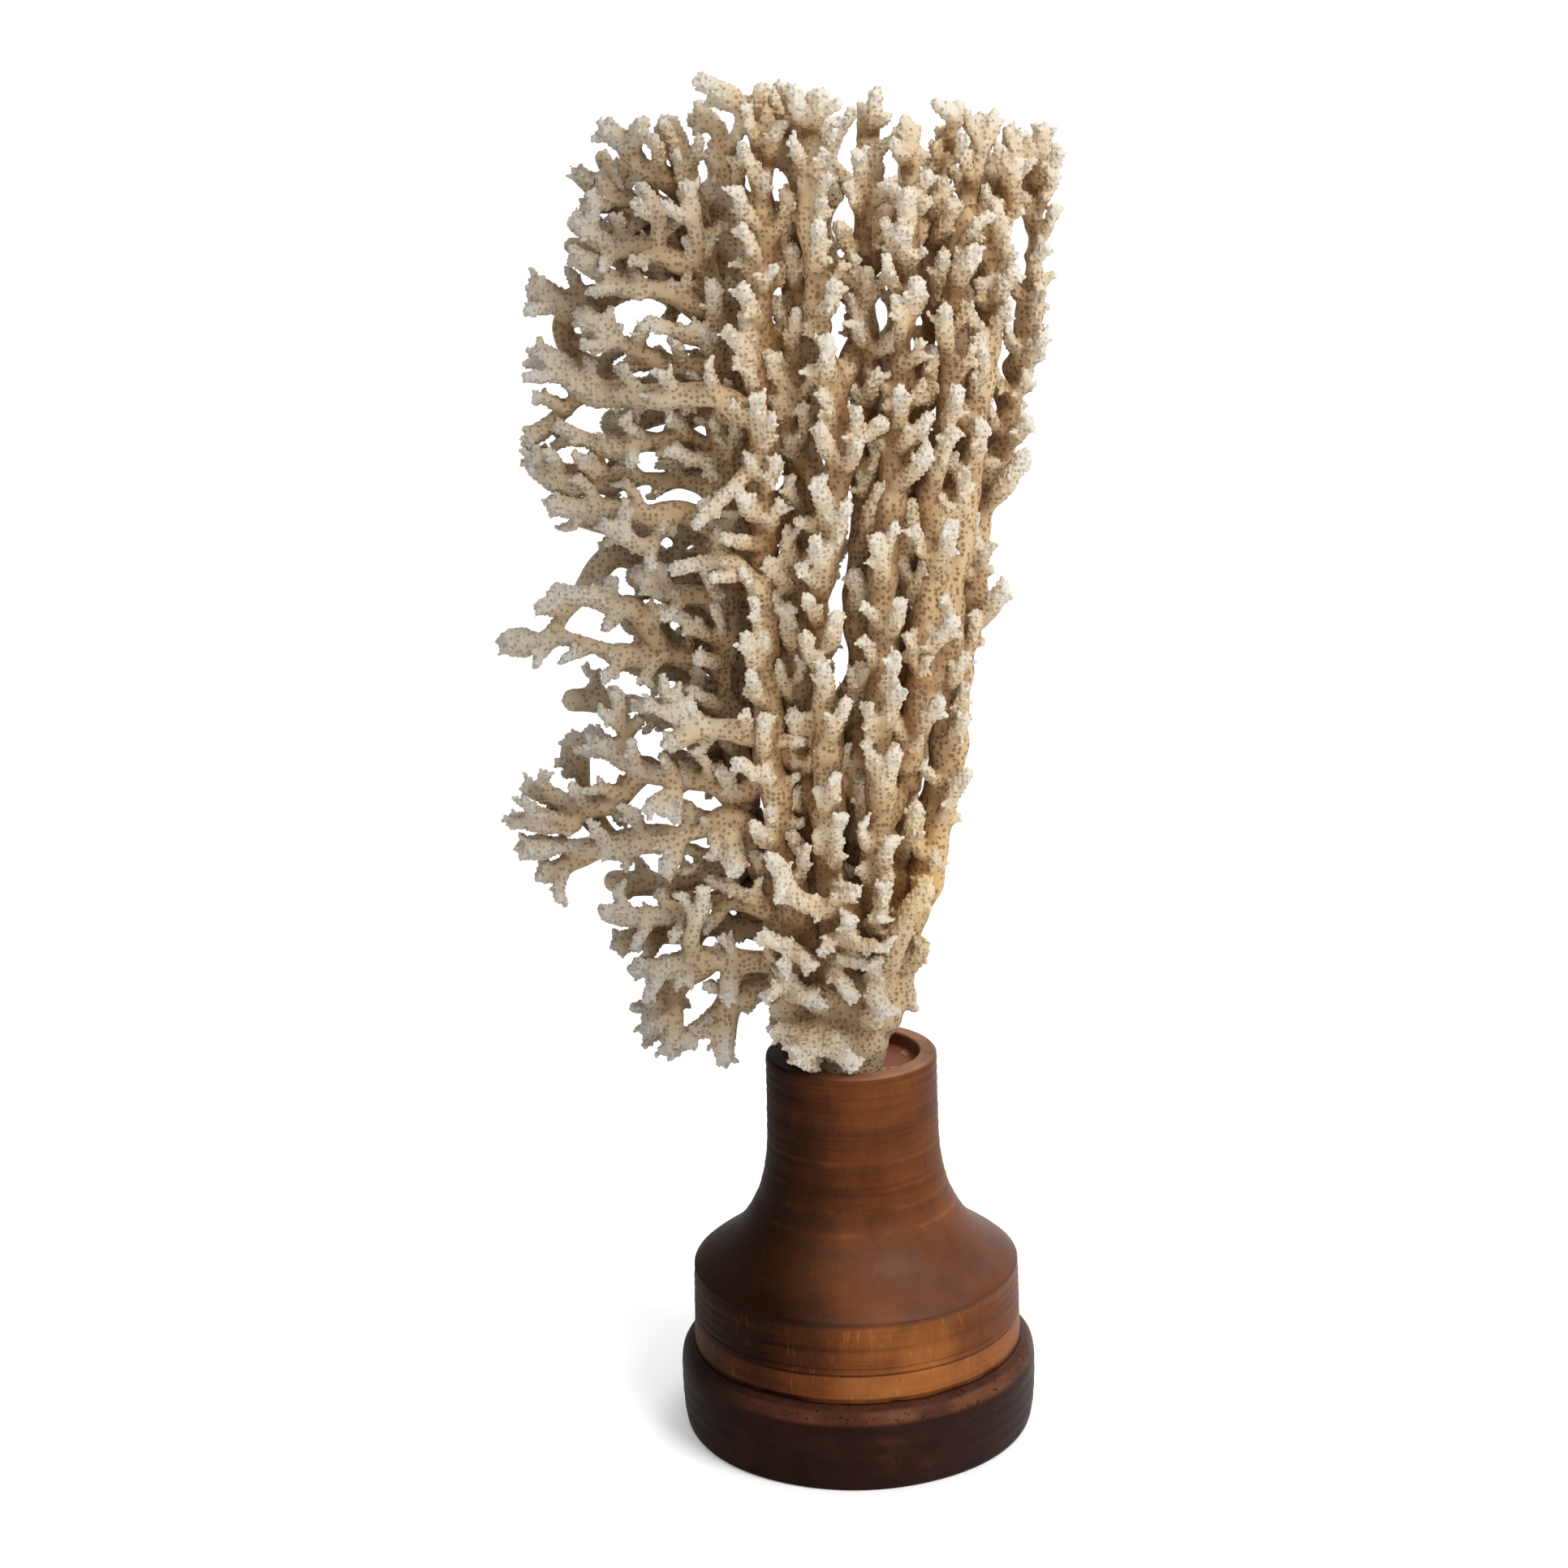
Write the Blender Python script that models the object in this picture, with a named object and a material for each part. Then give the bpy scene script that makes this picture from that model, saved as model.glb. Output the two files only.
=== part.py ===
"""A dried branching coral standing in its turned wooden stand.

The coral is a fan of upright ribs that rise from one foot. Short arms leave the fan to its left, a second
row of ribs stands behind it, and twigs grow from all of them. The stand is a bell of turned wood on a dark
plinth, and the coral's foot is set in a round recess in the top of the bell.

The origin is the middle of the stand's underside. +X is right, +Y is away from the viewer, +Z is up.
Sizes are written in millimetres and become metres where the meshes are made.
"""

import math

import bmesh
import bpy
import numpy as np
from mathutils import Vector

MM = 0.001

# Driving sizes, in millimetres.
STAND_TOP = 131.8
RIM_RADIUS = 28.7
RECESS_RADIUS = 23.0
RECESS_FLOOR = 126.4
DRUM_RADIUS = 56.0
SEAM_HEIGHT = 28.9
PLINTH_RADIUS = 60.8
TOUCHING_GAP = 0.3
STAND_SIDES = 30
WOOD_SHARP_EDGE = math.radians(32.0)

# The bell's outline, (radius, height), from the top of the axis to its foot.
RECESS_CORNER = 0.8
RIM_CORNER = 1.0
BELL_OUTLINE = [
    (0.0, RECESS_FLOOR),
    (RECESS_RADIUS - RECESS_CORNER, RECESS_FLOOR),
    (RECESS_RADIUS, RECESS_FLOOR + RECESS_CORNER),
    (RECESS_RADIUS, STAND_TOP),
    (RIM_RADIUS - RIM_CORNER, STAND_TOP),
    (RIM_RADIUS, STAND_TOP - RIM_CORNER),
    (RIM_RADIUS + 0.1, 116.0),
    (RIM_RADIUS + 0.4, 101.0),
    (30.1, 92.0),
    (31.8, 84.5),
    (34.0, 79.0),
    (37.2, 73.0),
    (41.3, 67.8),
    (46.2, 63.6),
    (50.8, 60.4),
    (DRUM_RADIUS - 1.8, 57.8),
    (DRUM_RADIUS - 0.6, 55.4),
    (DRUM_RADIUS, SEAM_HEIGHT + TOUCHING_GAP),
    (0.0, SEAM_HEIGHT + TOUCHING_GAP),
]

# The plinth's outline, read the same way.
PLINTH_OUTLINE = [
    (0.0, SEAM_HEIGHT),
    (DRUM_RADIUS + 0.4, SEAM_HEIGHT),
    (DRUM_RADIUS + 2.6, SEAM_HEIGHT - 1.6),
    (PLINTH_RADIUS - 0.4, SEAM_HEIGHT - 4.9),
    (PLINTH_RADIUS, SEAM_HEIGHT - 8.0),
    (PLINTH_RADIUS, 13.0),
    (PLINTH_RADIUS - 1.0, 3.0),
    (PLINTH_RADIUS - 2.2, 0.0),
    (0.0, 0.0),
]

# Coral sections.
TRUNK_SIDES = 9
RIB_SIDES = 5
ARM_SIDES = 5
PRONG_SIDES = 4
TWIG_SIDES = 4
RIB_ROOT_RADIUS = 4.4
RIB_TIP_RADIUS = 3.2
TWIG_REACH = 11.0
TWIG_TAPER = 0.8
TWIG_LENGTHS = (1.0, 0.85, 0.7, 0.58)
TWIG_FREE_FROM = 0.35
ROUTE_STEPS = 8
SECTION_TILT = 0.4
TIP_LENGTH = 0.8
BEAD_SPACING = 1.5
ROOM_SHARE = 1.8
WELD = 0.004
FLAT_ANGLE = math.radians(1.5)
CORAL_SHARP_EDGE = math.radians(50.0)

# The fan is bowed: its middle stands nearer to the viewer than its edges, from BOW_START upwards.
BOW = 12.0
BOW_CENTRE = 10.0
BOW_HALF_WIDTH = 52.0
BOW_START = 165.0
BOW_FULL = 235.0

# The eye that the routes below were read from. A route's points are (x, depth, z): x and z are where the
# point is seen on the middle plane y = 0, and depth is how far behind that plane the point lies.
EYE = Vector((0.0, -904.7, 455.6))

# One main route per rib, foot end first.
RIBS = {
    "rib_right_edge": [
        (14, 3, 158), (19, 5, 176), (27, 8, 198), (31, 11, 218), (34, 14, 240), (38, 16, 265),
        (41.5, 17, 285),
        (44, 18, 305), (47, 19, 320), (52, 19, 335), (56, 20, 352), (60, 20, 370), (62, 19, 388),
        (64, 18, 402), (62, 17, 415), (65, 16, 430),
    ],
    "rib_right_front": [
        (33, 13, 243), (33.5, 9, 262), (35.5, 7, 283), (38, 7, 305), (42, 7, 330), (45, 8, 352),
        (48, 8, 370),
        (50, 8, 385), (51, 7, 400), (54, 6, 415), (57, 5, 429),
    ],
    "rib_right_inner": [
        (20, 5, 232), (24, 1, 250), (27, 0, 270), (29, 0, 295), (29.5, 0, 317), (32, 0, 333), (35, 0, 350),
        (36, 0, 367), (37.5, 1, 385), (40, 1, 400), (44, 1, 413), (49, 0, 433),
    ],
    "rib_middle_right": [
        (12, 4, 172), (17, 7, 195), (18.5, 8, 218), (20, 8, 245), (21, 9, 275), (22, 9, 300), (24, 9, 325),
        (26, 9, 345), (29, 9, 365), (31, 9, 385), (32, 9, 400), (33, 8, 418), (36, 7, 430),
    ],
    "rib_middle_front": [
        (6, -1, 172), (10, -2, 196), (11, -2, 220), (12, -2, 245), (13, -2, 275), (15, -2, 300),
        (17, -2, 325), (20, -2, 345), (20.5, -2, 365), (22, -1, 385), (23, 0, 400), (24, 0, 432),
    ],
    "rib_middle": [
        (2, 5, 172), (2, 8, 200), (5, 8, 230), (6, 8, 260), (6, 8, 290), (8, 8, 315), (10, 8, 335),
        (10, 8, 355), (9, 8, 375), (10, 8, 395), (11, 8, 415), (13, 7, 437),
    ],
    "rib_middle_left": [
        (-4, -1, 172), (-6, -2, 200), (-5, -2, 230), (-6, -2, 255), (-6, -2, 280), (-4, -2, 305),
        (0, -2, 325), (0.5, -2, 345), (-3, -2, 365), (-5, -2, 385), (-6, -2, 405), (-6, -2, 425),
        (-4, -2, 441),
    ],
    "rib_left_back": [
        (-8, 5, 172), (-12, 7, 197), (-14, 8, 225), (-15, 8, 255), (-15, 8, 285), (-13.5, 8, 310),
        (-13, 8, 335), (-13, 9, 360), (-12.5, 10, 385), (-11, 10, 410), (-11.5, 9, 443),
    ],
    "rib_left_front": [
        (-13, 0, 168), (-19, -1, 192), (-23, -1, 220), (-25, -1, 250), (-25, -1, 280), (-24, -1, 310),
        (-24, -1, 340), (-24, -1, 370), (-22, 0, 395), (-21, 0, 420), (-20, 0, 445),
    ],
    "rib_left_edge": [
        (-16, 5, 168), (-25, 7, 190), (-33, 8, 215), (-37, 8, 245), (-38, 8, 275), (-37, 8, 305),
        (-37, 8, 335), (-38, 8, 365), (-40, 8, 390), (-43, 7, 410), (-47, 6, 425), (-50, 5, 436),
    ],
    "rib_back_right": [
        (8, 17, 176), (18, 25, 215), (26, 30, 255), (31, 32, 295), (36, 33, 335), (41, 31, 372),
        (46, 28, 405), (48, 24, 424),
    ],
    "rib_back_middle_right": [
        (4, 19, 176), (7, 28, 220), (10, 33, 262), (13, 35, 305), (16, 36, 345), (20, 34, 385),
        (22, 30, 422),
    ],
    "rib_back_middle_left": [
        (-2, 19, 176), (-5, 27, 222), (-9, 33, 268), (-9, 36, 312), (-6, 37, 355), (-3, 34, 395),
        (-1, 30, 434),
    ],
    "rib_back_left": [
        (-8, 17, 176), (-18, 24, 212), (-27, 28, 250), (-31, 30, 290), (-31, 31, 330), (-31, 30, 368),
        (-32, 27, 400), (-35, 23, 424),
    ],
}

# Left arms: routes with the root first and the radius at the root and at the tip.
ARMS = {
    "arm_01_top": [
        ([(-21, 0, 430), (-24, -2, 438), (-30.6, -4, 444), (-38.5, -6, 448)], 3.6, 3.0),
        ([(-23, 0, 410), (-31.5, 3, 418), (-33, 5, 427), (-35.6, 6, 436), (-39, 7, 441)], 3.2, 2.6),
    ],
    "arm_02": [
        ([(-45, 7, 416), (-52, 3, 420), (-59, 1, 423), (-63.8, -1, 431), (-68, -3, 435.5)], 4.2, 3.2),
        ([(-62.5, 0, 429), (-59.5, -5, 436)], 3.4, 2.4),
    ],
    "arm_03": [
        ([(-43, 8, 406), (-55, 12, 409), (-64, 11, 412), (-71, 9, 416), (-78, 7, 421.5)], 4.2, 3.0),
        ([(-62, 12, 411), (-66, 16, 418), (-70.5, 19, 427.5)], 3.4, 2.6),
        ([(-68, 10, 414), (-75.5, 4, 411.5)], 3.2, 2.4),
    ],
    "arm_04": [
        ([(-41, 8, 392), (-50, 1, 396), (-60, -1, 399), (-69.5, -2, 399), (-79, -5, 407.5)], 4.4, 3.2),
        ([(-54.8, 0, 397), (-55, -7, 409.5), (-58.5, -10, 417.5)], 3.2, 2.6),
        ([(-43, 2, 395), (-42.5, -6, 408), (-45, -9, 417)], 3.2, 2.6),
    ],
    "arm_05": [
        ([(-40, 8, 378), (-46.5, 2, 381.7), (-56, 0, 386.5), (-65, -2, 388), (-79.5, -6, 396)], 4.2, 3.2),
        ([(-57, 1, 386), (-66, 6, 385.5), (-73, 7, 384.5), (-84.5, 6, 382.7), (-92.5, 4, 385.5)], 4.8, 4.6),
        ([(-76, 7, 384), (-84.5, 10, 377), (-83, 13, 366.5), (-70, 16, 359)], 3.8, 3.4),
    ],
    "arm_06": [
        ([(-38, 8, 362), (-46, 3, 362), (-55.5, 1, 363.6), (-69.5, -3, 370.5),
          (-78.5, -6, 377.8)], 4.4, 3.4),
        ([(-63, -1, 367), (-61, -6, 374)], 3.0, 2.4),
    ],
    "arm_07": [
        ([(-25, -1, 345), (-30.5, -7, 347.5), (-38, -9, 351.5), (-56, -7, 353), (-67, -4, 354.5),
          (-74.8, -2, 354), (-81.8, -1, 356.5), (-86.3, -1, 361), (-92, -2, 365)], 4.4, 4.6),
        ([(-80, -1, 355.5), (-86.8, 1, 347.8), (-97.5, 1, 339.8)], 3.8, 3.0),
    ],
    "arm_08": [
        ([(-37, 8, 334), (-44, 4, 338), (-50.3, 2, 340.5), (-70, -1, 338), (-79.5, -2, 339),
          (-88, -3, 342.5)], 4.6, 4.2),
        ([(-66, -1, 339), (-65.4, -6, 333)], 2.8, 2.2),
    ],
    "arm_09": [
        ([(-37, 8, 322), (-46, 10, 326), (-57, 8, 327), (-67, 6, 326), (-80, 3, 325.5), (-89.5, 1, 328),
          (-94, -1, 332)], 5.0, 5.2),
        ([(-70, 4, 327), (-81, -5, 332.5)], 3.0, 2.2),
    ],
    "arm_10": [
        ([(-37, 8, 309), (-44, 4, 313), (-51.5, 3, 315.7), (-61.3, 1, 314), (-77.3, 0, 317.2),
          (-90, -2, 319.5)], 4.4, 3.8),
        ([(-52, 3, 315), (-61.9, -5, 305.5), (-68, -8, 308), (-75, -10, 311)], 3.2, 2.6),
    ],
    "arm_11": [
        ([(-24, -1, 283), (-28, -8, 291), (-36, -11, 299), (-44, -12, 299.8), (-53, -13, 298)], 3.8, 3.0),
    ],
    "arm_12": [
        ([(-37.5, 8, 281), (-43, 3, 286.5), (-51.8, 1, 288.8), (-58.2, 0, 291),
          (-63.7, -2, 296)], 4.2, 3.2),
    ],
    "arm_13_loop": [
        ([(-38, 8, 260), (-46, 8, 266), (-54, 6, 270), (-61, 3, 270), (-70, 0, 268), (-79, -2, 270.8),
          (-90.3, -3, 275), (-98, -2, 275), (-107, -2, 275)], 4.4, 5.0),
        ([(-59, 4, 270), (-61.5, 1, 277), (-67, -1, 285), (-72.4, -2, 285), (-79.5, -3, 288),
          (-91, -4, 288.5)], 4.2, 3.6),
        ([(-86, -3, 288), (-91, -3, 282), (-97, -2, 275)], 3.8, 4.2),
    ],
    "arm_14": [
        ([(-24, -1, 240), (-34, -8, 243), (-44, -10, 243), (-50.7, -10, 243.5),
          (-54.7, -11, 254)], 4.4, 3.6),
        ([(-49, -10, 243), (-56, -12, 239.5)], 3.4, 3.0),
        ([(-52.5, -10, 247), (-58, -8, 251), (-66, -8, 251.5)], 3.0, 2.4),
    ],
    "arm_15": [
        ([(-34, 8, 219), (-41, 3, 224.5), (-48, 1, 227), (-54.5, 0, 229), (-67.5, -2, 231.5),
          (-80, -4, 239)], 5.0, 3.6),
        ([(-65, -1, 231), (-75.5, 1, 221), (-80.4, 2, 219), (-89.7, 2, 219.3),
          (-103.5, 1, 223.5)], 4.2, 3.2),
        ([(-81, 2, 219), (-88, -1, 215.5), (-92.7, -2, 212), (-108.5, -3, 213.7)], 3.6, 3.2),
        ([(-56, 0, 229), (-56.3, -7, 221), (-57, -8, 215)], 3.8, 2.8),
        ([(-70.5, -2, 234), (-72, -4, 244), (-74.8, -5, 256)], 3.0, 2.2),
    ],
    "arm_16_big": [
        ([(-27, 7, 200), (-36, 0, 212), (-48.8, -1, 209.3), (-58.8, 0, 208.8), (-68.7, 0, 206.3),
          (-78.6, 1, 203.8), (-90.5, 1, 205), (-104, 0, 205.5)], 5.4, 4.8),
        ([(-84, 2, 204), (-94.2, 4, 197), (-100.2, 4, 195.3)], 4.0, 3.2),
        ([(-78, 2, 205), (-85, 12, 218), (-85.5, 14, 230), (-88, 13, 240)], 4.4, 4.0),
        ([(-40, -1, 211), (-37, -8, 205), (-38, -10, 196.5)], 4.0, 3.2),
        ([(-53, -1, 208), (-60, -6, 197)], 3.6, 2.8),
    ],
    "arm_17": [
        ([(-20, 6, 178), (-30, 3, 184), (-44, 3, 184), (-52.8, 2, 181.8), (-69.7, 0, 180.3),
          (-80, -1, 182)], 4.2, 3.2),
    ],
    "arm_18": [
        ([(-16, 8, 166), (-27, 12, 173), (-38, 13, 175.5), (-56, 12, 174.5), (-68, 10, 174),
          (-75, 9, 171)], 4.6, 3.8),
    ],
    "arm_19": [
        ([(-13, -2, 160), (-28.5, -4, 164.5), (-42.3, -5, 163.5), (-51, -5, 165.3),
          (-70, -7, 161.5)], 4.6, 3.4),
        ([(-51, -5, 165), (-51.8, -9, 173), (-48.2, -11, 187.5)], 3.4, 2.6),
        ([(-49, -4, 164), (-59.5, 1, 155), (-64.5, 2, 149), (-66.5, 2, 141.5)], 5.0, 4.8),
        ([(-61, 1, 153), (-58.5, -3, 145.5), (-60.5, -4, 134)], 3.6, 3.0),
        ([(-38, -5, 163.5), (-40.5, -9, 153)], 4.0, 3.2),
    ],
    "arm_20_low": [
        ([(-12, 2, 148), (-24, 4, 155), (-33, 2, 152.5), (-43.5, 0, 146.7), (-57, -2, 137.5)], 5.2, 4.6),
        ([(-41, 0, 148), (-42.5, -3, 131.5)], 4.2, 3.8),
    ],
    "arm_back_1": [
        ([(-31, 29, 386), (-44, 28, 388), (-58, 24, 394), (-70, 20, 398), (-82, 16, 400)], 4.2, 3.2),
    ],
    "arm_back_2": [
        ([(-31, 31, 345), (-46, 29, 346), (-60, 25, 345), (-72, 21, 347)], 4.2, 3.2),
    ],
    "arm_back_3": [
        ([(-31, 30, 296), (-45, 28, 300), (-57, 23, 301), (-64, 19, 300), (-72.3, 16, 302),
          (-83, 14, 292)], 4.8, 4.6),
        ([(-55, 26, 301), (-70, 19, 311), (-84, 14, 313.5)], 4.0, 3.2),
    ],
    "arm_back_4": [
        ([(-26, 28, 240), (-42, 25, 244), (-56, 21, 248), (-66.5, 17, 253.5), (-79.7, 13, 255),
          (-88, 11, 255)], 4.8, 4.6),
    ],
    "arm_back_5": [
        ([(-12, 20, 186), (-26, 21, 194), (-39, 21, 196), (-49, 19, 193.3), (-69, 15, 191.7),
          (-77, 13, 192)], 4.8, 4.4),
    ],
}

# Twigs that grow from the ribs towards the viewer: (tip x, tip z, root x, root z, radius), as seen.
FRONT_TWIGS = [
    (39.5, 227, 31, 206, 3.4), (39.6, 246, 33, 240, 3.6), (52.4, 288, 42, 276, 4.2),
    (59.5, 329, 49, 314, 4.2),
    (60.7, 341, 54, 336, 3.6), (65.8, 367, 59, 358, 3.6), (70.6, 424.5, 64, 414, 3.4),
    (23.5, 215.5, 20, 199, 4.0),
    (15.2, 204, 9, 193, 3.6), (15.6, 233.5, 11, 219, 4.0), (7.2, 223, 4, 208, 4.0),
    (26.3, 245, 20, 229, 3.6),
    (30.5, 251, 23, 240, 3.6), (18.5, 255, 12, 240, 3.7), (-3, 227, -6, 216, 3.4),
    (-18, 207, -13, 198, 3.4), (-15.7, 248, -14, 237, 3.4), (-27, 246, -23, 234, 3.4),
    (-6, 263, -6, 252, 3.6), (8.2, 262.5, 5, 250, 3.4), (16.5, 266, 13, 254, 3.4),
    (27.8, 266, 22, 255, 3.6), (39, 265.2, 34, 257, 3.8), (-2.2, 279, -6, 270, 3.8),
    (-17, 282, -15, 268, 4.2),
    (35.3, 277.3, 29, 267, 3.8), (20, 284, 14, 272, 3.6), (33.5, 285, 35, 277, 3.6),
    (4.5, 294, 5, 282, 3.8),
    (-21, 298, -14, 290, 3.6), (27.2, 297, 22, 284, 3.8), (12, 304, 13, 290, 3.6),
    (42.5, 311, 42, 296, 4.2),
    (35.2, 308.4, 30, 294, 3.8), (-7, 305, -6, 292, 3.6), (-17, 308, -14, 296, 3.6),
    (23.7, 315.3, 21, 299, 3.8), (13.5, 321, 8, 302, 3.8), (39.3, 324.5, 35, 311, 3.6),
    (-5.8, 323, -5, 309, 4.4),
    (-5, 341, -1, 330, 3.6), (28.2, 333.2, 20, 322, 3.8),
    (13.5, 343, 5, 336, 3.6), (28.4, 344, 20, 334, 3.4), (45.7, 341, 44, 328, 3.8),
    (36, 338.7, 29, 320, 3.8),
    (37.6, 351, 33, 338, 3.8), (20.8, 352, 20, 340, 3.4), (13, 357.5, 5, 348, 3.4), (45, 367, 46, 354, 3.6),
    (19.4, 371, 14, 364, 3.4), (-3.2, 368, -1, 356, 3.6), (42.7, 376, 47, 364, 3.4),
    (35.2, 377, 33, 364, 3.4), (25.4, 386, 18, 372, 3.6), (11.4, 390, 10, 378, 3.6),
    (-12.3, 378, -13, 364, 3.6), (0.3, 386, -4, 376, 3.4), (-11.8, 397, -12, 385, 3.6),
    (-5, 404, -5, 390, 3.4),
    (22, 402, 22, 390, 3.4), (43.7, 396, 37, 384, 3.8), (34, 394, 32, 382, 3.4), (24.5, 413, 24, 401, 4.0),
    (38, 409, 33, 398, 3.6), (51.4, 408.5, 51, 396, 3.4), (56.5, 388, 52, 377, 3.4), (8, 425, 4, 413, 3.6),
    (-13.5, 415, -11, 402, 3.4), (34.6, 417, 33, 405, 3.4),
    (-3.6, 445, 2, 434, 3.0), (15.5, 444.5, 12, 432, 3.0), (39.2, 440, 36, 426, 2.8),
    (57.8, 422, 53, 410, 3.2),
    (-29.5, 415.5, -22, 402, 3.4), (-38.5, 387, -38, 374, 3.6), (-27.5, 386, -24, 374, 3.6),
    (-57.7, 375, -41, 372, 3.4), (-33, 371.5, -25, 362, 3.6), (-20.4, 363.5, -14, 350, 3.4),
    (-26, 350, -23, 336, 3.4), (-44.5, 311.5, -26, 336, 3.2), (-31, 320.5, -24, 312, 3.6),
    (-23, 298, -16, 288, 3.2), (-53.9, 283, -38, 272, 3.2),
    (-31.4, 273.5, -25, 264, 3.4), (-49, 256.5, -38, 250, 3.4), (-29.5, 261, -25, 250, 3.4),
    (-41, 229.5, -33, 217, 3.4), (-34.3, 233.5, -24, 226, 3.2), (-30, 211, -22, 205, 3.8),
    (-24.5, 201, -14, 186, 3.6), (-1.5, 188, -4, 178, 3.8), (12.4, 191, 8, 178, 3.6),
    (25.5, 189, 17, 174, 4.4),
]

# Rows of twigs on the far side, one for each back rib: every so far up the rib, turned round it by TURN.
BACK_TWIG_SPACING = 30.0
BACK_TWIG_TURN = math.radians(99.0)
BACK_TWIG_SWING = math.radians(62.0)
BACK_TWIG_RISE = 0.9
BACK_TWIG_LENGTH = 15.0
BACK_TWIG_RADIUS = 3.6

# The foot: stems that leave the trunk, (route, radius at each end), and the trunk itself.
TRUNK = ([(-3.5, 0, 126.7), (-3.5, 0, 138), (-3, 3, 152), (-2, 7, 168), (-2, 10, 184)], 15.0, 13.0)
FOOT_STEMS = [
    ([(3, 2, 138), (11, 4, 154), (15.5, 5, 170), (20, 6, 186)], 10.5, 7.2),
    ([(-9, 2, 140), (-12, 3, 156), (-15, 4, 170), (-20, 6, 183)], 11.0, 7.0),
    ([(0, 8, 142), (-2, 13, 158), (-2, 17, 172), (-2, 19, 184)], 10.5, 8.5),
    ([(-2, 0, 152), (0, 0, 168), (0, 0, 184)], 11.0, 8.0),
    ([(-10, -4, 138), (-18, -9, 136)], 5.5, 4.0),
    ([(0, -6, 136), (-3, -13, 133)], 6.0, 4.2),
    ([(-12, 4, 138), (-25, 3, 141)], 4.2, 3.0),
    ([(-8, -4, 160), (-19, -12, 163)], 4.6, 3.4),
    ([(5, -4, 150), (9, -12, 161)], 6.0, 4.6),
]


def clear_scene():
    """Takes away whatever the scene starts with."""
    for thing in list(bpy.data.objects):
        bpy.data.objects.remove(thing, do_unlink=True)


def make_material(name, colour, roughness):
    """A plain surface: colour and roughness, not a metal."""
    material = bpy.data.materials.new(name)
    material.use_nodes = True
    shader = material.node_tree.nodes["Principled BSDF"]
    shader.inputs["Base Color"].default_value = (*colour, 1.0)
    shader.inputs["Roughness"].default_value = roughness
    shader.inputs["Metallic"].default_value = 0.0
    return material


def bow_at(x, z):
    """How far the fan is bowed towards the viewer at this place."""
    share = max(0.0, min(1.0, (z - BOW_START) / (BOW_FULL - BOW_START)))
    across = (x - BOW_CENTRE) / BOW_HALF_WIDTH
    return BOW * share * max(0.0, 1.0 - across * across)


def placed(point):
    """Moves a point seen on the middle plane along the line of sight to its own depth."""
    x, depth, z = point
    on_plane = Vector((x, 0.0, z))
    real_depth = depth - bow_at(x, z)
    return EYE + (on_plane - EYE) * ((real_depth - EYE.y) / -EYE.y)


def route_of(points):
    """The real route of a row of seen points."""
    return [placed(point) for point in points]


def radii_between(first, last, count):
    """Radii that change evenly from the root to the tip."""
    return [first + (last - first) * index / (count - 1) for index in range(count)]


def add_tube(mesh, route, radii, sides, grow=0.0):
    """Carries a polygon of the given radii along the route, with a flat root and a blunt point at the tip.
    grow thickens the tube and lengthens it at both ends, for use as a cutter."""
    route = list(route)
    radii = [radius + grow for radius in radii]
    start_way = (route[1] - route[0]).normalized()
    end_way = (route[-1] - route[-2]).normalized()
    route[0] = route[0] - start_way * grow
    across = start_way.orthogonal().normalized()
    way = start_way
    rings = []
    for index, centre in enumerate(route):
        before = route[max(index - 1, 0)]
        after = route[min(index + 1, len(route) - 1)]
        new_way = (after - before).normalized()
        across.rotate(way.rotation_difference(new_way))
        way = new_way
        up = way.cross(across).normalized()
        ring = []
        for side in range(sides):
            angle = SECTION_TILT + side * math.tau / sides
            offset = across * math.cos(angle) + up * math.sin(angle)
            ring.append(mesh.verts.new((centre + offset * radii[index]) * MM))
        rings.append(ring)
    for low, high in zip(rings, rings[1:]):
        for side in range(sides):
            after = (side + 1) % sides
            mesh.faces.new((low[side], low[after], high[after], high[side]))
    mesh.faces.new(reversed(rings[0]))
    point = mesh.verts.new((route[-1] + end_way * radii[-1] * TIP_LENGTH) * MM)
    for side in range(sides):
        mesh.faces.new((rings[-1][side], rings[-1][(side + 1) % sides], point))


def tube_mesh(name, tubes, grow=0.0):
    """One mesh that holds every tube in the list, each a closed body of its own."""
    mesh = bmesh.new()
    for route, radii, sides in tubes:
        add_tube(mesh, route, radii, sides, grow)
    bmesh.ops.triangulate(mesh, faces=mesh.faces[:])
    data = bpy.data.meshes.new(name)
    mesh.to_mesh(data)
    mesh.free()
    return data


def helper(name, data):
    """An object that only takes part in a Boolean."""
    thing = bpy.data.objects.new(name, data)
    thing.hide_render = True
    thing.display_type = "WIRE"
    bpy.context.scene.collection.objects.link(thing)
    return thing


def combine(thing, other, operation):
    """Applies one Boolean to the thing and takes the other object away."""
    modifier = thing.modifiers.new(operation.title(), "BOOLEAN")
    modifier.operation = operation
    modifier.solver = "EXACT"
    modifier.use_self = True
    modifier.object = other
    bpy.context.view_layer.update()
    graph = bpy.context.evaluated_depsgraph_get()
    result = bpy.data.meshes.new_from_object(thing.evaluated_get(graph))
    thing.modifiers.remove(modifier)
    thing.data = result
    bpy.data.objects.remove(other, do_unlink=True)


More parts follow.
